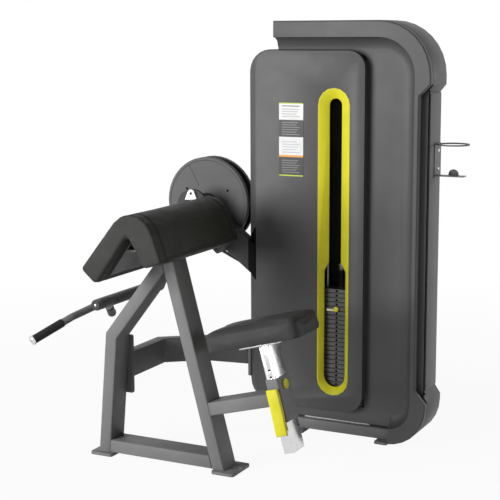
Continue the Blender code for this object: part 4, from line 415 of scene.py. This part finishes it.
pivot_x = -0.309
pivot_z = 0.8294
bearing_bolt_reach = 0.047
disc_bolt_reach = 0.099
bearing_bolts = (("upper", pivot_z + bearing_bolt_reach), ("lower", pivot_z - bearing_bolt_reach))
for name, height in bearing_bolts:
    place = (pivot_x, 0.4145, height)
    screw_at("bearing_screw_" + name, facing_front, place, "frame", black_oxide, 1.1)
for index, degrees in enumerate((29.0, 151.0, 270.0)):
    turn = math.radians(degrees)
    across = disc_bolt_reach * math.cos(turn)
    upward = disc_bolt_reach * math.sin(turn)
    place = (pivot_x + across, 0.5435, pivot_z + upward)
    name = "disc_screw_%d" % (index + 1)
    screw_at(name, facing_front, place, "lever", black_oxide, 0.82)
screw_at("spindle_screw", facing_front, (-0.435, -0.0458, 0.532), "lever", zinc_steel, 0.72)
set_screw_turn = Matrix.Rotation(math.radians(82.0), 4, "Y")
place = (-0.4162, 0.064, 0.5347)
screw_at("tube_set_screw", set_screw_turn, place, "lever", black_oxide, 0.5)
bracket_side = 0.5716
bracket_middle = 0.610
lower_place = (bracket_side, bracket_middle, 0.987)
screw_at("cup_holder_screw_lower", facing_right, lower_place, "frame", zinc_steel)
upper_place = Vector((bracket_side, bracket_middle, 1.049)) + part_to_scene
screw.data.transform(Matrix.Translation(upper_place) @ facing_right)
settle_piece(screw, "frame", zinc_steel)

# Handle grips
# Black rubber sleeves pushed over the ends of the yoke. Each is closed by a cap turned from
# steel and chromed.
grip_rubber, tree, shader = new_finish("grip_rubber", 0.62, specular=0.2)
shade_between(tree, shader, (0.010, 0.010, 0.010), (0.022, 0.022, 0.022), mottle(tree, 0.01, 0.0, 1.0))
raise_surface(tree, shader, mottle(tree, 0.0012, 0.0, 1.0, 2.0), 0.00008)
for node in ("grip_near", "grip_far"):
    coat(smooth_copy(node, node + "_sleeve", 0.0), grip_rubber)

bright_chrome, tree, shader = new_finish("bright_chrome", 0.14, metallic=1.0)
shade_between(tree, shader, (0.64, 0.64, 0.65), (0.76, 0.76, 0.77), mottle(tree, 0.04, 0.0, 1.0))
tree.links.new(mottle(tree, 0.012, 0.10, 0.22), shader.inputs["Roughness"])
for node in ("grip_cap_near", "grip_cap_far"):
    coat(smooth_copy(node, node + "_turned", 0.0), bright_chrome)

# Seat post
# Chromed rectangular tube with a row of index holes, welded to a plain steel plate under the
# seat. Inside the tube's bore the chrome is painted near-black as painted shade.


def axis_part(tree, name):
    """One coordinate of the piece's own place."""
    place = tree.nodes.new("ShaderNodeTexCoord")
    apart = tree.nodes.new("ShaderNodeSeparateXYZ")
    tree.links.new(place.outputs["Object"], apart.inputs["Vector"])
    return apart.outputs[name]


def maths(tree, operation, *values):
    """The result of one sum in the material; each value is a socket or a number."""
    node = tree.nodes.new("ShaderNodeMath")
    node.operation = operation
    for index, value in enumerate(values):
        if isinstance(value, float):
            node.inputs[index].default_value = value
        else:
            tree.links.new(value, node.inputs[index])
    return node.outputs[0]


def within(tree, value, low, high):
    """One between two limits and nothing outside them."""
    above = maths(tree, "GREATER_THAN", value, low)
    below = maths(tree, "LESS_THAN", value, high)
    return maths(tree, "MULTIPLY", above, below)


post_chrome, tree, shader = new_finish("post_chrome", 0.2, metallic=1.0)
post_shade = blend_colours(tree, mottle(tree, 0.04, 0.0, 1.0), (0.64, 0.64, 0.65), (0.74, 0.74, 0.75))
post_lean = math.radians(15.0)
post_foot = Vector((0.302, 0.0, 0.1055)) + part_to_scene
from_foot_x = maths(tree, "ADD", axis_part(tree, "X"), -post_foot.x)
from_foot_y = maths(tree, "ADD", axis_part(tree, "Y"), -post_foot.y)
from_foot_z = maths(tree, "ADD", axis_part(tree, "Z"), -post_foot.z)
run_x = maths(tree, "MULTIPLY", from_foot_x, math.cos(post_lean))
run_z = maths(tree, "MULTIPLY", from_foot_z, math.sin(post_lean))
beside = maths(tree, "ABSOLUTE", maths(tree, "ADD", run_x, run_z))
deep = maths(tree, "ABSOLUTE", from_foot_y)
# Painted shade: the chrome is painted near-black inside the tube's bore.
inside_wide = maths(tree, "LESS_THAN", beside, 0.0165)
inside_deep = maths(tree, "LESS_THAN", deep, 0.0385)
bore_shade = maths(tree, "MULTIPLY", inside_wide, inside_deep)
tree.links.new(blend_colours(tree, bore_shade, post_shade, (0.012, 0.012, 0.012)), shader.inputs["Base Color"])
tree.links.new(mottle(tree, 0.012, 0.16, 0.26), shader.inputs["Roughness"])
coat(smooth_copy("seat_post", "seat_post_chromed", 0.0003), post_chrome)
plain_steel, tree, shader = new_finish("plain_steel", 0.34, metallic=1.0)
shade_between(tree, shader, (0.42, 0.42, 0.43), (0.56, 0.56, 0.57), mottle(tree, 0.03, 0.0, 1.0))
tree.links.new(mottle(tree, 0.01, 0.28, 0.44, stretch=(1.0, 1.0, 0.2)), shader.inputs["Roughness"])
coat(smooth_copy("seat_plate", "seat_plate_steel"), plain_steel)

# Lock lever and sleeve cap
# Folded steel lever on the sleeve's ear and a round cap pressed into the sleeve, both with a
# yellow powder coat that is rubbed at the edges.
yellow_coat, tree, shader = new_finish("yellow_coat", 0.45, specular=0.2)
wander = mottle(tree, 0.08, 0.0, 1.0)
colour = shade_between(tree, shader, (0.57, 0.535, 0.020), (0.64, 0.60, 0.026), wander)
rub_edges(tree, shader, colour, (0.78, 0.74, 0.15), 0.0015)
raise_surface(tree, shader, mottle(tree, 0.0016, 0.0, 1.0, 2.0), 0.00005)
for node in ("seat_lock_lever", "sleeve_cap"):
    coat(smooth_copy(node, node + "_yellow", 0.0005), yellow_coat)

# Pivot
# Steel shaft in a two-bolt bearing with a bright cast flange, on a welded housing that a beam
# carries into the tower through a black gland. Inside the tower the beam is painted near-black as
# painted shade, and the gland's near-black coat is partly painted shade of the opening.
coat(smooth_copy("pivot_shaft", "pivot_shaft_steel", 0.0), plain_steel)
bright_casting, tree, shader = new_finish("bright_casting", 0.5, metallic=0.2)
shade_between(tree, shader, (0.74, 0.74, 0.72), (0.86, 0.86, 0.84), mottle(tree, 0.02, 0.0, 1.0))
raise_surface(tree, shader, mottle(tree, 0.0025, 0.0, 1.0, 4.0), 0.00015)
coat(smooth_copy("flange_bearing", "bearing_casting"), bright_casting)
coat(smooth_copy("pivot_bracket", "pivot_bracket_painted"), lever_coat)
beam_coat, tree, shader = new_finish("beam_coat", 0.55, specular=0.1)
# Painted shade: from the tower's side inward the beam is painted near-black.
inside_tower_shade = maths(tree, "GREATER_THAN", axis_part(tree, "X"), -0.1705)
wander = mottle(tree, 0.16, 0.0, 1.0)
grey_shade = blend_colours(tree, wander, (0.080, 0.080, 0.082), (0.098, 0.098, 0.100))
colour = blend_colours(tree, inside_tower_shade, grey_shade, (0.004, 0.004, 0.004))
tree.links.new(colour, shader.inputs["Base Color"])
raise_surface(tree, shader, mottle(tree, 0.0016, 0.0, 1.0, 2.0), 0.00006)
coat(smooth_copy("support_beam", "support_beam_painted"), beam_coat)
# The gland's near-black, nearly matt coat is black rubber and also painted shade of the opening it
# fills.
gland_rubber_and_shade, tree, shader = new_finish("gland_rubber_and_shade", 0.8, specular=0.03)
shade_between(tree, shader, (0.003, 0.003, 0.003), (0.007, 0.007, 0.007), mottle(tree, 0.02, 0.0, 1.0))
raise_surface(tree, shader, mottle(tree, 0.0012, 0.0, 1.0, 2.0), 0.00005)
coat(smooth_copy("beam_gland", "beam_gland_moulded"), gland_rubber_and_shade)

# Belt drum
# Grooved black drum behind a coated disc, both keyed to the pivot shaft. The disc is two
# halves, so a ring seam and one radial slit show on its face.
disc_coat, tree, shader = new_finish("disc_coat", 0.5, specular=0.15)
wander = mottle(tree, 0.12, 0.0, 1.0)
colour = shade_between(tree, shader, (0.092, 0.092, 0.094), (0.106, 0.106, 0.108), wander)
across = maths(tree, "ADD", axis_part(tree, "X"), -(pivot_x + part_to_scene.x))
upward = maths(tree, "ADD", axis_part(tree, "Z"), -pivot_z)
across_squared = maths(tree, "MULTIPLY", across, across)
upward_squared = maths(tree, "MULTIPLY", upward, upward)
radius = maths(tree, "SQRT", maths(tree, "ADD", across_squared, upward_squared))
slit_angle = math.radians(119.6)
across_along = maths(tree, "MULTIPLY", across, math.cos(slit_angle))
upward_along = maths(tree, "MULTIPLY", upward, math.sin(slit_angle))
along_slit = maths(tree, "ADD", across_along, upward_along)
across_beside = maths(tree, "MULTIPLY", across, -math.sin(slit_angle))
upward_beside = maths(tree, "MULTIPLY", upward, math.cos(slit_angle))
beside_slit = maths(tree, "ADD", across_beside, upward_beside)
on_slit = within(tree, beside_slit, -0.0011, 0.0011)
slit = maths(tree, "MULTIPLY", on_slit, within(tree, along_slit, 0.070, 0.158))
seam = within(tree, radius, 0.1572, 0.1592)
front_face = maths(tree, "LESS_THAN", axis_part(tree, "Y"), 0.3475)
gaps = maths(tree, "MULTIPLY", maths(tree, "MAXIMUM", slit, seam), front_face)
colour = blend_colours(tree, gaps, colour, (0.008, 0.008, 0.008))
rub_edges(tree, shader, colour, (0.22, 0.22, 0.23), 0.002)
raise_surface(tree, shader, mottle(tree, 0.0016, 0.0, 1.0, 2.0), 0.00006)
disc = smooth_copy("cam_front_disc", "drum_disc_painted", 0.0)
for face in disc.data.polygons:
    if abs(face.normal.y) > 0.999:
        face.use_smooth = False
coat(disc, disc_coat)

drum_mix, tree, shader = new_finish("drum_mix", 0.5, specular=0.2)
flange = maths(tree, "GREATER_THAN", axis_part(tree, "Y"), 0.3962)
fine = mottle(tree, 0.02, 0.0, 1.0)
broad = mottle(tree, 0.08, 0.0, 1.0)
black_shade = blend_colours(tree, fine, (0.012, 0.012, 0.012), (0.022, 0.022, 0.022))
grey_shade = blend_colours(tree, broad, (0.130, 0.130, 0.132), (0.152, 0.152, 0.154))
colour = blend_colours(tree, flange, black_shade, grey_shade)
tree.links.new(colour, shader.inputs["Base Color"])
raise_surface(tree, shader, mottle(tree, 0.0014, 0.0, 1.0, 2.0), 0.00005)
coat(smooth_copy("cam_drum", "belt_drum_moulded", 0.0005), drum_mix)

# Tower covers
# Moulded covers in satin dark grey: a front cover with a hoop round a sunk floor, a raised
# panel, a rear cover, and a side cover behind the panel.
cover_satin, tree, shader = new_finish("cover_satin", 0.5, specular=0.35)
shade_between(tree, shader, (0.052, 0.052, 0.053), (0.060, 0.060, 0.061), mottle(tree, 0.25, 0.0, 1.0))
raise_surface(tree, shader, mottle(tree, 0.0012, 0.0, 1.0, 2.0), 0.00004)
tree.links.new(mottle(tree, 0.05, 0.485, 0.525), shader.inputs["Roughness"])
for node in ("raised_panel", "left_side_cover", "side_strip_front"):
    coat(smooth_copy(node, node + "_moulded", 0.0003), cover_satin)
rear_cover = smooth_copy("rear_cover", "rear_cover_moulded", 0.0003)


end_wall_face = -0.0572
end_wall_front = 0.3305
reach_to_hoop = 0.0235


def at_end_wall_top(point):
    """True at the top front corner of the left end wall, which stops short of the hoop."""
    return point.x < end_wall_face and abs(point.y - end_wall_front) < 0.002 and point.z > 1.48


pick_points(rear_cover, at_end_wall_top)
bpy.ops.transform.translate(value=(0.0, -reach_to_hoop, 0.0))
bpy.ops.object.mode_set(mode="OBJECT")
coat(rear_cover, cover_satin)
front_cover = smooth_copy("front_cover", "front_cover_moulded", 0.0)


opening_corner_x = 0.2827
opening_corner_z = 1.385


def at_opening_corner(point):
    """True along the sharp corner of the opening behind the raised panel."""
    beside = abs(point.x - opening_corner_x)
    above = abs(point.z - opening_corner_z)
    return beside < 0.001 and above < 0.001


only(front_cover)
bpy.ops.object.mode_set(mode="EDIT")
bpy.ops.mesh.select_mode(type="EDGE")
bpy.ops.mesh.select_all(action="DESELECT")
bpy.ops.object.mode_set(mode="OBJECT")
for edge in front_cover.data.edges:
    ends = [front_cover.data.vertices[index].co for index in edge.vertices]
    edge.select = all(at_opening_corner(point) for point in ends)
bpy.ops.object.mode_set(mode="EDIT")
bpy.ops.mesh.bevel(offset=0.030, segments=5)
bpy.ops.object.mode_set(mode="OBJECT")
ease(front_cover, 0.0003)
bpy.ops.object.shade_smooth_by_angle(angle=math.radians(38.0))
coat(front_cover, cover_satin)

light_satin, tree, shader = new_finish("light_satin", 0.6, specular=0.1)
shade_between(tree, shader, (0.20, 0.20, 0.203), (0.23, 0.23, 0.233), mottle(tree, 0.2, 0.0, 1.0))
raise_surface(tree, shader, mottle(tree, 0.0016, 0.0, 1.0, 2.0), 0.00004)
coat(smooth_copy("side_strip_rear", "side_strip_light", 0.0004), light_satin)

# Placard
# Thin printed plate with round corners, glued to the raised panel. Its print is plain blocks
# and bars.
bpy.ops.object.select_all(action="DESELECT")
bpy.ops.mesh.primitive_cube_add(size=1.0, location=(0.0067, 0.29315, 1.081))
placard = bpy.context.object
placard.name = "placard_plate"
placard.scale = (0.095, 0.0010, 0.262)
bpy.ops.object.transform_apply(location=True, rotation=True, scale=True)
bpy.ops.object.mode_set(mode="EDIT")
bpy.ops.mesh.select_mode(type="EDGE")
bpy.ops.mesh.select_all(action="DESELECT")
bpy.ops.object.mode_set(mode="OBJECT")
for edge in placard.data.edges:
    first, last = (placard.data.vertices[index].co for index in edge.vertices)
    edge.select = abs(first.y - last.y) > 0.0005
bpy.ops.object.mode_set(mode="EDIT")
bpy.ops.mesh.bevel(offset=0.004, segments=4)
bpy.ops.object.mode_set(mode="OBJECT")
printed, tree, shader = new_finish("printed_plate", 0.4, specular=0.25)
height = axis_part(tree, "Z")
sideways = axis_part(tree, "X")
colour = blend_colours(tree, mottle(tree, 0.03, 0.0, 1.0), (0.64, 0.64, 0.63), (0.70, 0.70, 0.69))
lime_ink = (0.42, 0.55, 0.03)
grey_ink = (0.022, 0.022, 0.023)
for low, high, ink in (
    (0.950, 0.9545, lime_ink), (0.9545, 1.0185, grey_ink), (1.0185, 1.0255, (0.72, 0.30, 0.03)),
    (1.0905, 1.1515, grey_ink), (1.2085, 1.212, lime_ink),
):
    colour = blend_colours(tree, within(tree, height, low, high), colour, ink)
for lowest, bars, pitch, ink in (
    (0.962, 6, 0.0085, (0.17, 0.17, 0.17)), (1.098, 6, 0.0085, (0.17, 0.17, 0.17)),
    (1.199, 1, 0.0085, (0.05, 0.05, 0.05)), (1.034, 5, 0.0095, (0.42, 0.45, 0.50)),
    (1.162, 4, 0.0085, (0.38, 0.38, 0.38)),
):
    for index in range(bars):
        base = lowest + pitch * index
        right_end = 0.040 - 0.006 * ((index * 2) % 3)
        bar = maths(tree, "MULTIPLY", within(tree, height, base, base + 0.0032),
                     within(tree, sideways, -0.030, right_end))
        colour = blend_colours(tree, bar, colour, ink)
tree.links.new(colour, shader.inputs["Base Color"])
raise_surface(tree, shader, mottle(tree, 0.002, 0.0, 1.0, 2.0), 0.00002)
settle_piece(placard, "frame", printed)

# Stack window
# A yellow moulding clipped into the raised panel, which leads in to the weight plates like a
# funnel.
coat(smooth_copy("slot_ring", "window_funnel", 0.0003), yellow_coat)

# Frame inside the tower
# Base tubes, uprights and top beam of square steel tube, welded and coated like the legs. The
# plates that hold the guide rods are bare steel.
for node in (
    "left_base_foot", "right_base_foot", "base_front_tube", "base_rear_tube", "left_upright",
    "right_upright", "top_beam",
):
    coat(smooth_copy(node, node + "_painted"), frame_coat)
for node in ("rod_bracket", "stack_base_plate"):
    coat(smooth_copy(node, node + "_steel", 0.0), plain_steel)

# Weight stack
# Painted steel plates on two polished guide rods with rubber buffers, lifted by a drilled stem
# that a yellow pin locks to a plate. Each gap between plates is painted shade, a dark band in the
# paint, and the pin's bar is painted pale as a painted highlight.
plate_paint, tree, shader = new_finish("plate_paint", 0.45, specular=0.25)
wander = mottle(tree, 0.03, 0.0, 1.0)
colour = shade_between(tree, shader, (0.082, 0.082, 0.084), (0.112, 0.112, 0.114), wander)
plate_pitch = 0.0165
lowest_gap = 0.1135
gap_high = 0.0045
# Painted shade: a dark band where each gap between plates would be.
above_gap = maths(tree, "ADD", axis_part(tree, "Z"), 20 * plate_pitch - lowest_gap)
rise = maths(tree, "MODULO", above_gap, plate_pitch)
gap_shade = maths(tree, "LESS_THAN", rise, gap_high)
colour = blend_colours(tree, gap_shade, colour, (0.020, 0.020, 0.020))
rub_edges(tree, shader, colour, (0.20, 0.20, 0.20), 0.001)
raise_surface(tree, shader, mottle(tree, 0.002, 0.0, 1.0, 3.0), 0.0001)
for node in ("resting_plates", "lifted_plates"):
    coat(smooth_copy(node, node + "_painted", 0.0), plate_paint)
rod_steel, tree, shader = new_finish("rod_steel", 0.35, metallic=1.0)
shade_between(tree, shader, (0.15, 0.15, 0.152), (0.20, 0.20, 0.203), mottle(tree, 0.04, 0.0, 1.0))
for node in ("guide_rod_left", "guide_rod_right", "stem"):
    coat(smooth_copy(node, node + "_polished", 0.0), rod_steel)
for node in ("stack_buffer_left", "stack_buffer_right"):
    coat(smooth_copy(node, node + "_rubber", 0.0), grip_rubber)
pin_finish, tree, shader = new_finish("pin_finish", 0.4, specular=0.25)
# Painted highlight: the pin's bar is painted pale cream.
highlit_bar = maths(tree, "LESS_THAN", axis_part(tree, "X"), 0.1625)
wander = mottle(tree, 0.01, 0.0, 1.0)
yellow_shade = blend_colours(tree, wander, (0.60, 0.57, 0.03), (0.70, 0.66, 0.05))
bar_highlight_shade = blend_colours(tree, wander, (0.66, 0.66, 0.50), (0.80, 0.80, 0.68))
colour = blend_colours(tree, highlit_bar, yellow_shade, bar_highlight_shade)
tree.links.new(colour, shader.inputs["Base Color"])
coat(smooth_copy("selector_pin", "selector_pin_coated", 0.0), pin_finish)

# Belt and pulleys
# Flat rubber belt over three moulded nylon pulleys. Its drop to the stem shortens as the stack
# rises.
for node in ("pulley_low", "pulley_top_left", "pulley_top_right"):
    coat(smooth_copy(node, node + "_moulded", 0.0), black_nylon)
coat(smooth_copy("belt_run", "belt_run_rubber", 0.0), grip_rubber)
belt_drop = smooth_copy("belt_drop", "belt_drop_rubber", 0.0)
coat(belt_drop, grip_rubber)
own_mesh(belt_drop)

# Cup holder
# Bent steel bracket screwed to the tower, with a ring of round bar above a small shelf. A half
# disc welded on the shelf's long side stops the cup.
holder_grey, tree, shader = new_finish("holder_grey", 0.5, specular=0.2)
shade_between(tree, shader, (0.13, 0.13, 0.132), (0.17, 0.17, 0.172), mottle(tree, 0.03, 0.0, 1.0))
tree.links.new(mottle(tree, 0.01, 0.34, 0.48), shader.inputs["Roughness"])
cup_holder = smooth_copy("cup_holder", "cup_holder_steel", 0.0)
shelf_top = 0.966
pick_points(cup_holder, lambda point: point.x > 0.612 and shelf_top < point.z < 1.0)
bpy.ops.transform.resize(value=(1.0, 1.0, 0.05), center_override=(0.0, 0.0, shelf_top))
bpy.ops.object.mode_set(mode="OBJECT")
coat(cup_holder, holder_grey)

bpy.ops.object.select_all(action="DESELECT")
bpy.ops.mesh.primitive_cylinder_add(
    vertices=40, radius=0.0185, depth=0.0024, location=(0.570, 0.4245, shelf_top + 0.002),
    rotation=(math.radians(90.0), 0.0, 0.0),
)
cup_stop = bpy.context.object
cup_stop.name = "cup_holder_stop"
bpy.ops.object.transform_apply(location=True, rotation=True, scale=True)
bpy.ops.object.mode_set(mode="EDIT")
bpy.ops.mesh.select_all(action="SELECT")
bpy.ops.mesh.bisect(
    plane_co=(0.0, 0.0, shelf_top - 0.0005), plane_no=(0.0, 0.0, 1.0), use_fill=True, clear_inner=True,
)
bpy.ops.object.mode_set(mode="OBJECT")
ease(cup_stop, 0.0005)
settle_piece(cup_stop, "frame", holder_grey)

# Arm pad
# Foam on a folded board under dark grained vinyl, like a roof over the carrier. An end panel
# wraps over each end and is sewn to the main cover along a piped seam.
board_gap = 0.0015
held_end = 0.264


def beside_line(point, first, last):
    """How far a point lies from a line in the X-Z plane, positive on its left."""
    run = Vector((last[0] - first[0], last[1] - first[1])).normalized()
    reach = Vector((point.x - first[0], point.z - first[1]))
    return run.x * reach.y - run.y * reach.x


def on_pad_board(point):
    """True on the two faces that rest on the folded plate."""
    left = beside_line(point, (-0.340802, 0.652), (-0.218802, 0.822))
    right = beside_line(point, (-0.218802, 0.822), (-0.156802, 0.718))
    return left < board_gap and right < board_gap


def held_on_pad(point):
    """True on the board and on the two end panels, which are stretched flat."""
    return on_pad_board(point) or abs(point.y - part_to_scene.y) > held_end


def stuff(piece, on_board, voxel, shrink, most, pressure):
    """Remeshes a cushion a little small, swells it by cloth pressure and keeps its board flat."""
    only(piece)
    tight = piece.modifiers.new("tight_cover", "DISPLACE")
    tight.mid_level = 0.0
    tight.strength = -shrink
    grid = piece.modifiers.new("even_mesh", "REMESH")
    grid.mode = "VOXEL"
    grid.voxel_size = voxel
    bpy.ops.object.modifier_apply(modifier=grid.name)
    for name, wanted in (("board", True), ("cover", False)):
        points = [vertex.index for vertex in piece.data.vertices if on_board(vertex.co) == wanted]
        piece.vertex_groups.new(name=name).add(points, 1.0, "REPLACE")
    tight.vertex_group = "cover"
    only(piece)
    bpy.ops.object.modifier_apply(modifier=tight.name)
    start = [vertex.co.copy() for vertex in piece.data.vertices]
    cloth = piece.modifiers.new("stuffing", "CLOTH")
    cloth.settings.use_pressure = True
    cloth.settings.uniform_pressure_force = pressure
    cloth.settings.effector_weights.gravity = 0.0
    cloth.settings.vertex_group_mass = "board"
    for step in range(1, 21):
        bpy.context.scene.frame_set(step)
    bpy.ops.object.modifier_apply(modifier=cloth.name)
    bpy.context.scene.frame_set(1)
    for vertex, place in zip(piece.data.vertices, start):
        moved = vertex.co - place
        if moved.length > most:
            vertex.co = place + moved * (most / moved.length)
    even = piece.modifiers.new("even_cover", "SMOOTH")
    even.factor = 0.5
    even.iterations = 6
    even.vertex_group = "cover"
    only(piece)
    bpy.ops.object.modifier_apply(modifier=even.name)
    finer = piece.modifiers.new("finer", "SUBSURF")
    finer.levels = 1
    finer.render_levels = 1
    bpy.ops.object.modifier_apply(modifier=finer.name)
    bpy.ops.object.shade_smooth()


def crease(piece, depth, width, gap_to_seam):
    """Draws the cover in along a seam, from a rule that gives each point's distance to it."""
    normals = [vertex.normal.copy() for vertex in piece.data.vertices]
    for vertex, normal in zip(piece.data.vertices, normals):
        near = math.exp(-(gap_to_seam(vertex.co) / width) ** 2)
        vertex.co -= normal * (depth * near)


def piping(cushion, name, place, normal, bead, keep):
    """A round cord sewn along the line where a plane cuts the cushion."""
    cord = bpy.data.objects.new(name, cushion.data.copy())
    bpy.context.scene.collection.objects.link(cord)
    only(cord)
    bpy.ops.object.mode_set(mode="EDIT")
    bpy.ops.mesh.select_all(action="SELECT")
    bpy.ops.mesh.bisect(plane_co=place, plane_no=normal, clear_inner=True, clear_outer=True)
    bpy.ops.mesh.select_mode(type="VERT")
    bpy.ops.mesh.select_all(action="DESELECT")
    bpy.ops.object.mode_set(mode="OBJECT")
    for vertex in cord.data.vertices:
        vertex.select = not keep(vertex.co)
    bpy.ops.object.mode_set(mode="EDIT")
    bpy.ops.mesh.delete(type="VERT")
    bpy.ops.object.mode_set(mode="OBJECT")
    bpy.ops.object.convert(target="CURVE")
    cord = bpy.context.object
    cord.data.bevel_depth = bead
    cord.data.bevel_resolution = 3
    cord.data.use_fill_caps = True
    bpy.ops.object.convert(target="MESH")
    cord = bpy.context.object
    bpy.ops.object.shade_smooth()
    return cord


pad_vinyl, tree, shader = new_finish("pad_vinyl", 0.55, specular=0.06)
wander = mottle(tree, 0.05, 0.0, 1.0)
shade_between(tree, shader, (0.033, 0.0326, 0.0312), (0.041, 0.0405, 0.0385), wander)
raise_surface(tree, shader, mottle(tree, 0.0018, 0.0, 1.0, 2.0), 0.00012)
tree.links.new(mottle(tree, 0.04, 0.42, 0.54), shader.inputs["Roughness"])

pad = smooth_copy("arm_pad", "arm_pad_cushion", 0.0)
stuff(pad, held_on_pad, voxel=0.006, shrink=0.003, most=0.004, pressure=2.0)
seam_y = 0.229
pad_middle = part_to_scene.y


def gap_to_pad_seam(point):
    """How far a point lies from the nearer of the two seams."""
    return abs(abs(point.y - pad_middle) - seam_y)


crease(pad, depth=0.0022, width=0.0055, gap_to_seam=gap_to_pad_seam)
coat(pad, pad_vinyl)
for name, side in (("near", -1.0), ("far", 1.0)):
    cord = piping(
        pad, "arm_pad_piping_" + name, place=(0.0, pad_middle + side * seam_y, 0.0),
        normal=(0.0, 1.0, 0.0), bead=0.0019, keep=lambda point: not on_pad_board(point),
    )
    coat(cord, pad_vinyl)
    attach(cord, "frame")

# Seat cushion
# Foam on a plywood base under grained vinyl. A flat top panel is sewn to a side band with a
# fine piped edge, and the cover is drawn under and stapled.
seat_up = Vector((-math.sin(post_lean), 0.0, math.cos(post_lean)))
seat_base = 0.3736
seat_edge = seat_base + 0.0575
seat_board = seat_base + board_gap


def up_the_seat(point):
    """How far a point lies from the post's foot, along the post."""
    return (point - post_foot).dot(seat_up)


seat_vinyl, tree, shader = new_finish("seat_vinyl", 0.6, specular=0.05)
shade_between(tree, shader, (0.044, 0.044, 0.045), (0.051, 0.051, 0.052), mottle(tree, 0.05, 0.0, 1.0))
raise_surface(tree, shader, mottle(tree, 0.0018, 0.0, 1.0, 2.0), 0.00012)
tree.links.new(mottle(tree, 0.04, 0.40, 0.52), shader.inputs["Roughness"])

seat = smooth_copy("seat_pad", "seat_cushion", 0.0)
stuff(
    seat, lambda point: up_the_seat(point) < seat_board, voxel=0.005, shrink=0.003, most=0.004,
    pressure=2.0,
)
crease(
    seat, depth=0.0012, width=0.0035,
    gap_to_seam=lambda point: abs(up_the_seat(point) - seat_edge),
)
coat(seat, seat_vinyl)
seam_place = post_foot + seat_up * seat_edge
cord = piping(
    seat, "seat_piping", place=seam_place, normal=seat_up, bead=0.0012, keep=lambda point: True,
)
coat(cord, seat_vinyl)
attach(cord, "seat")
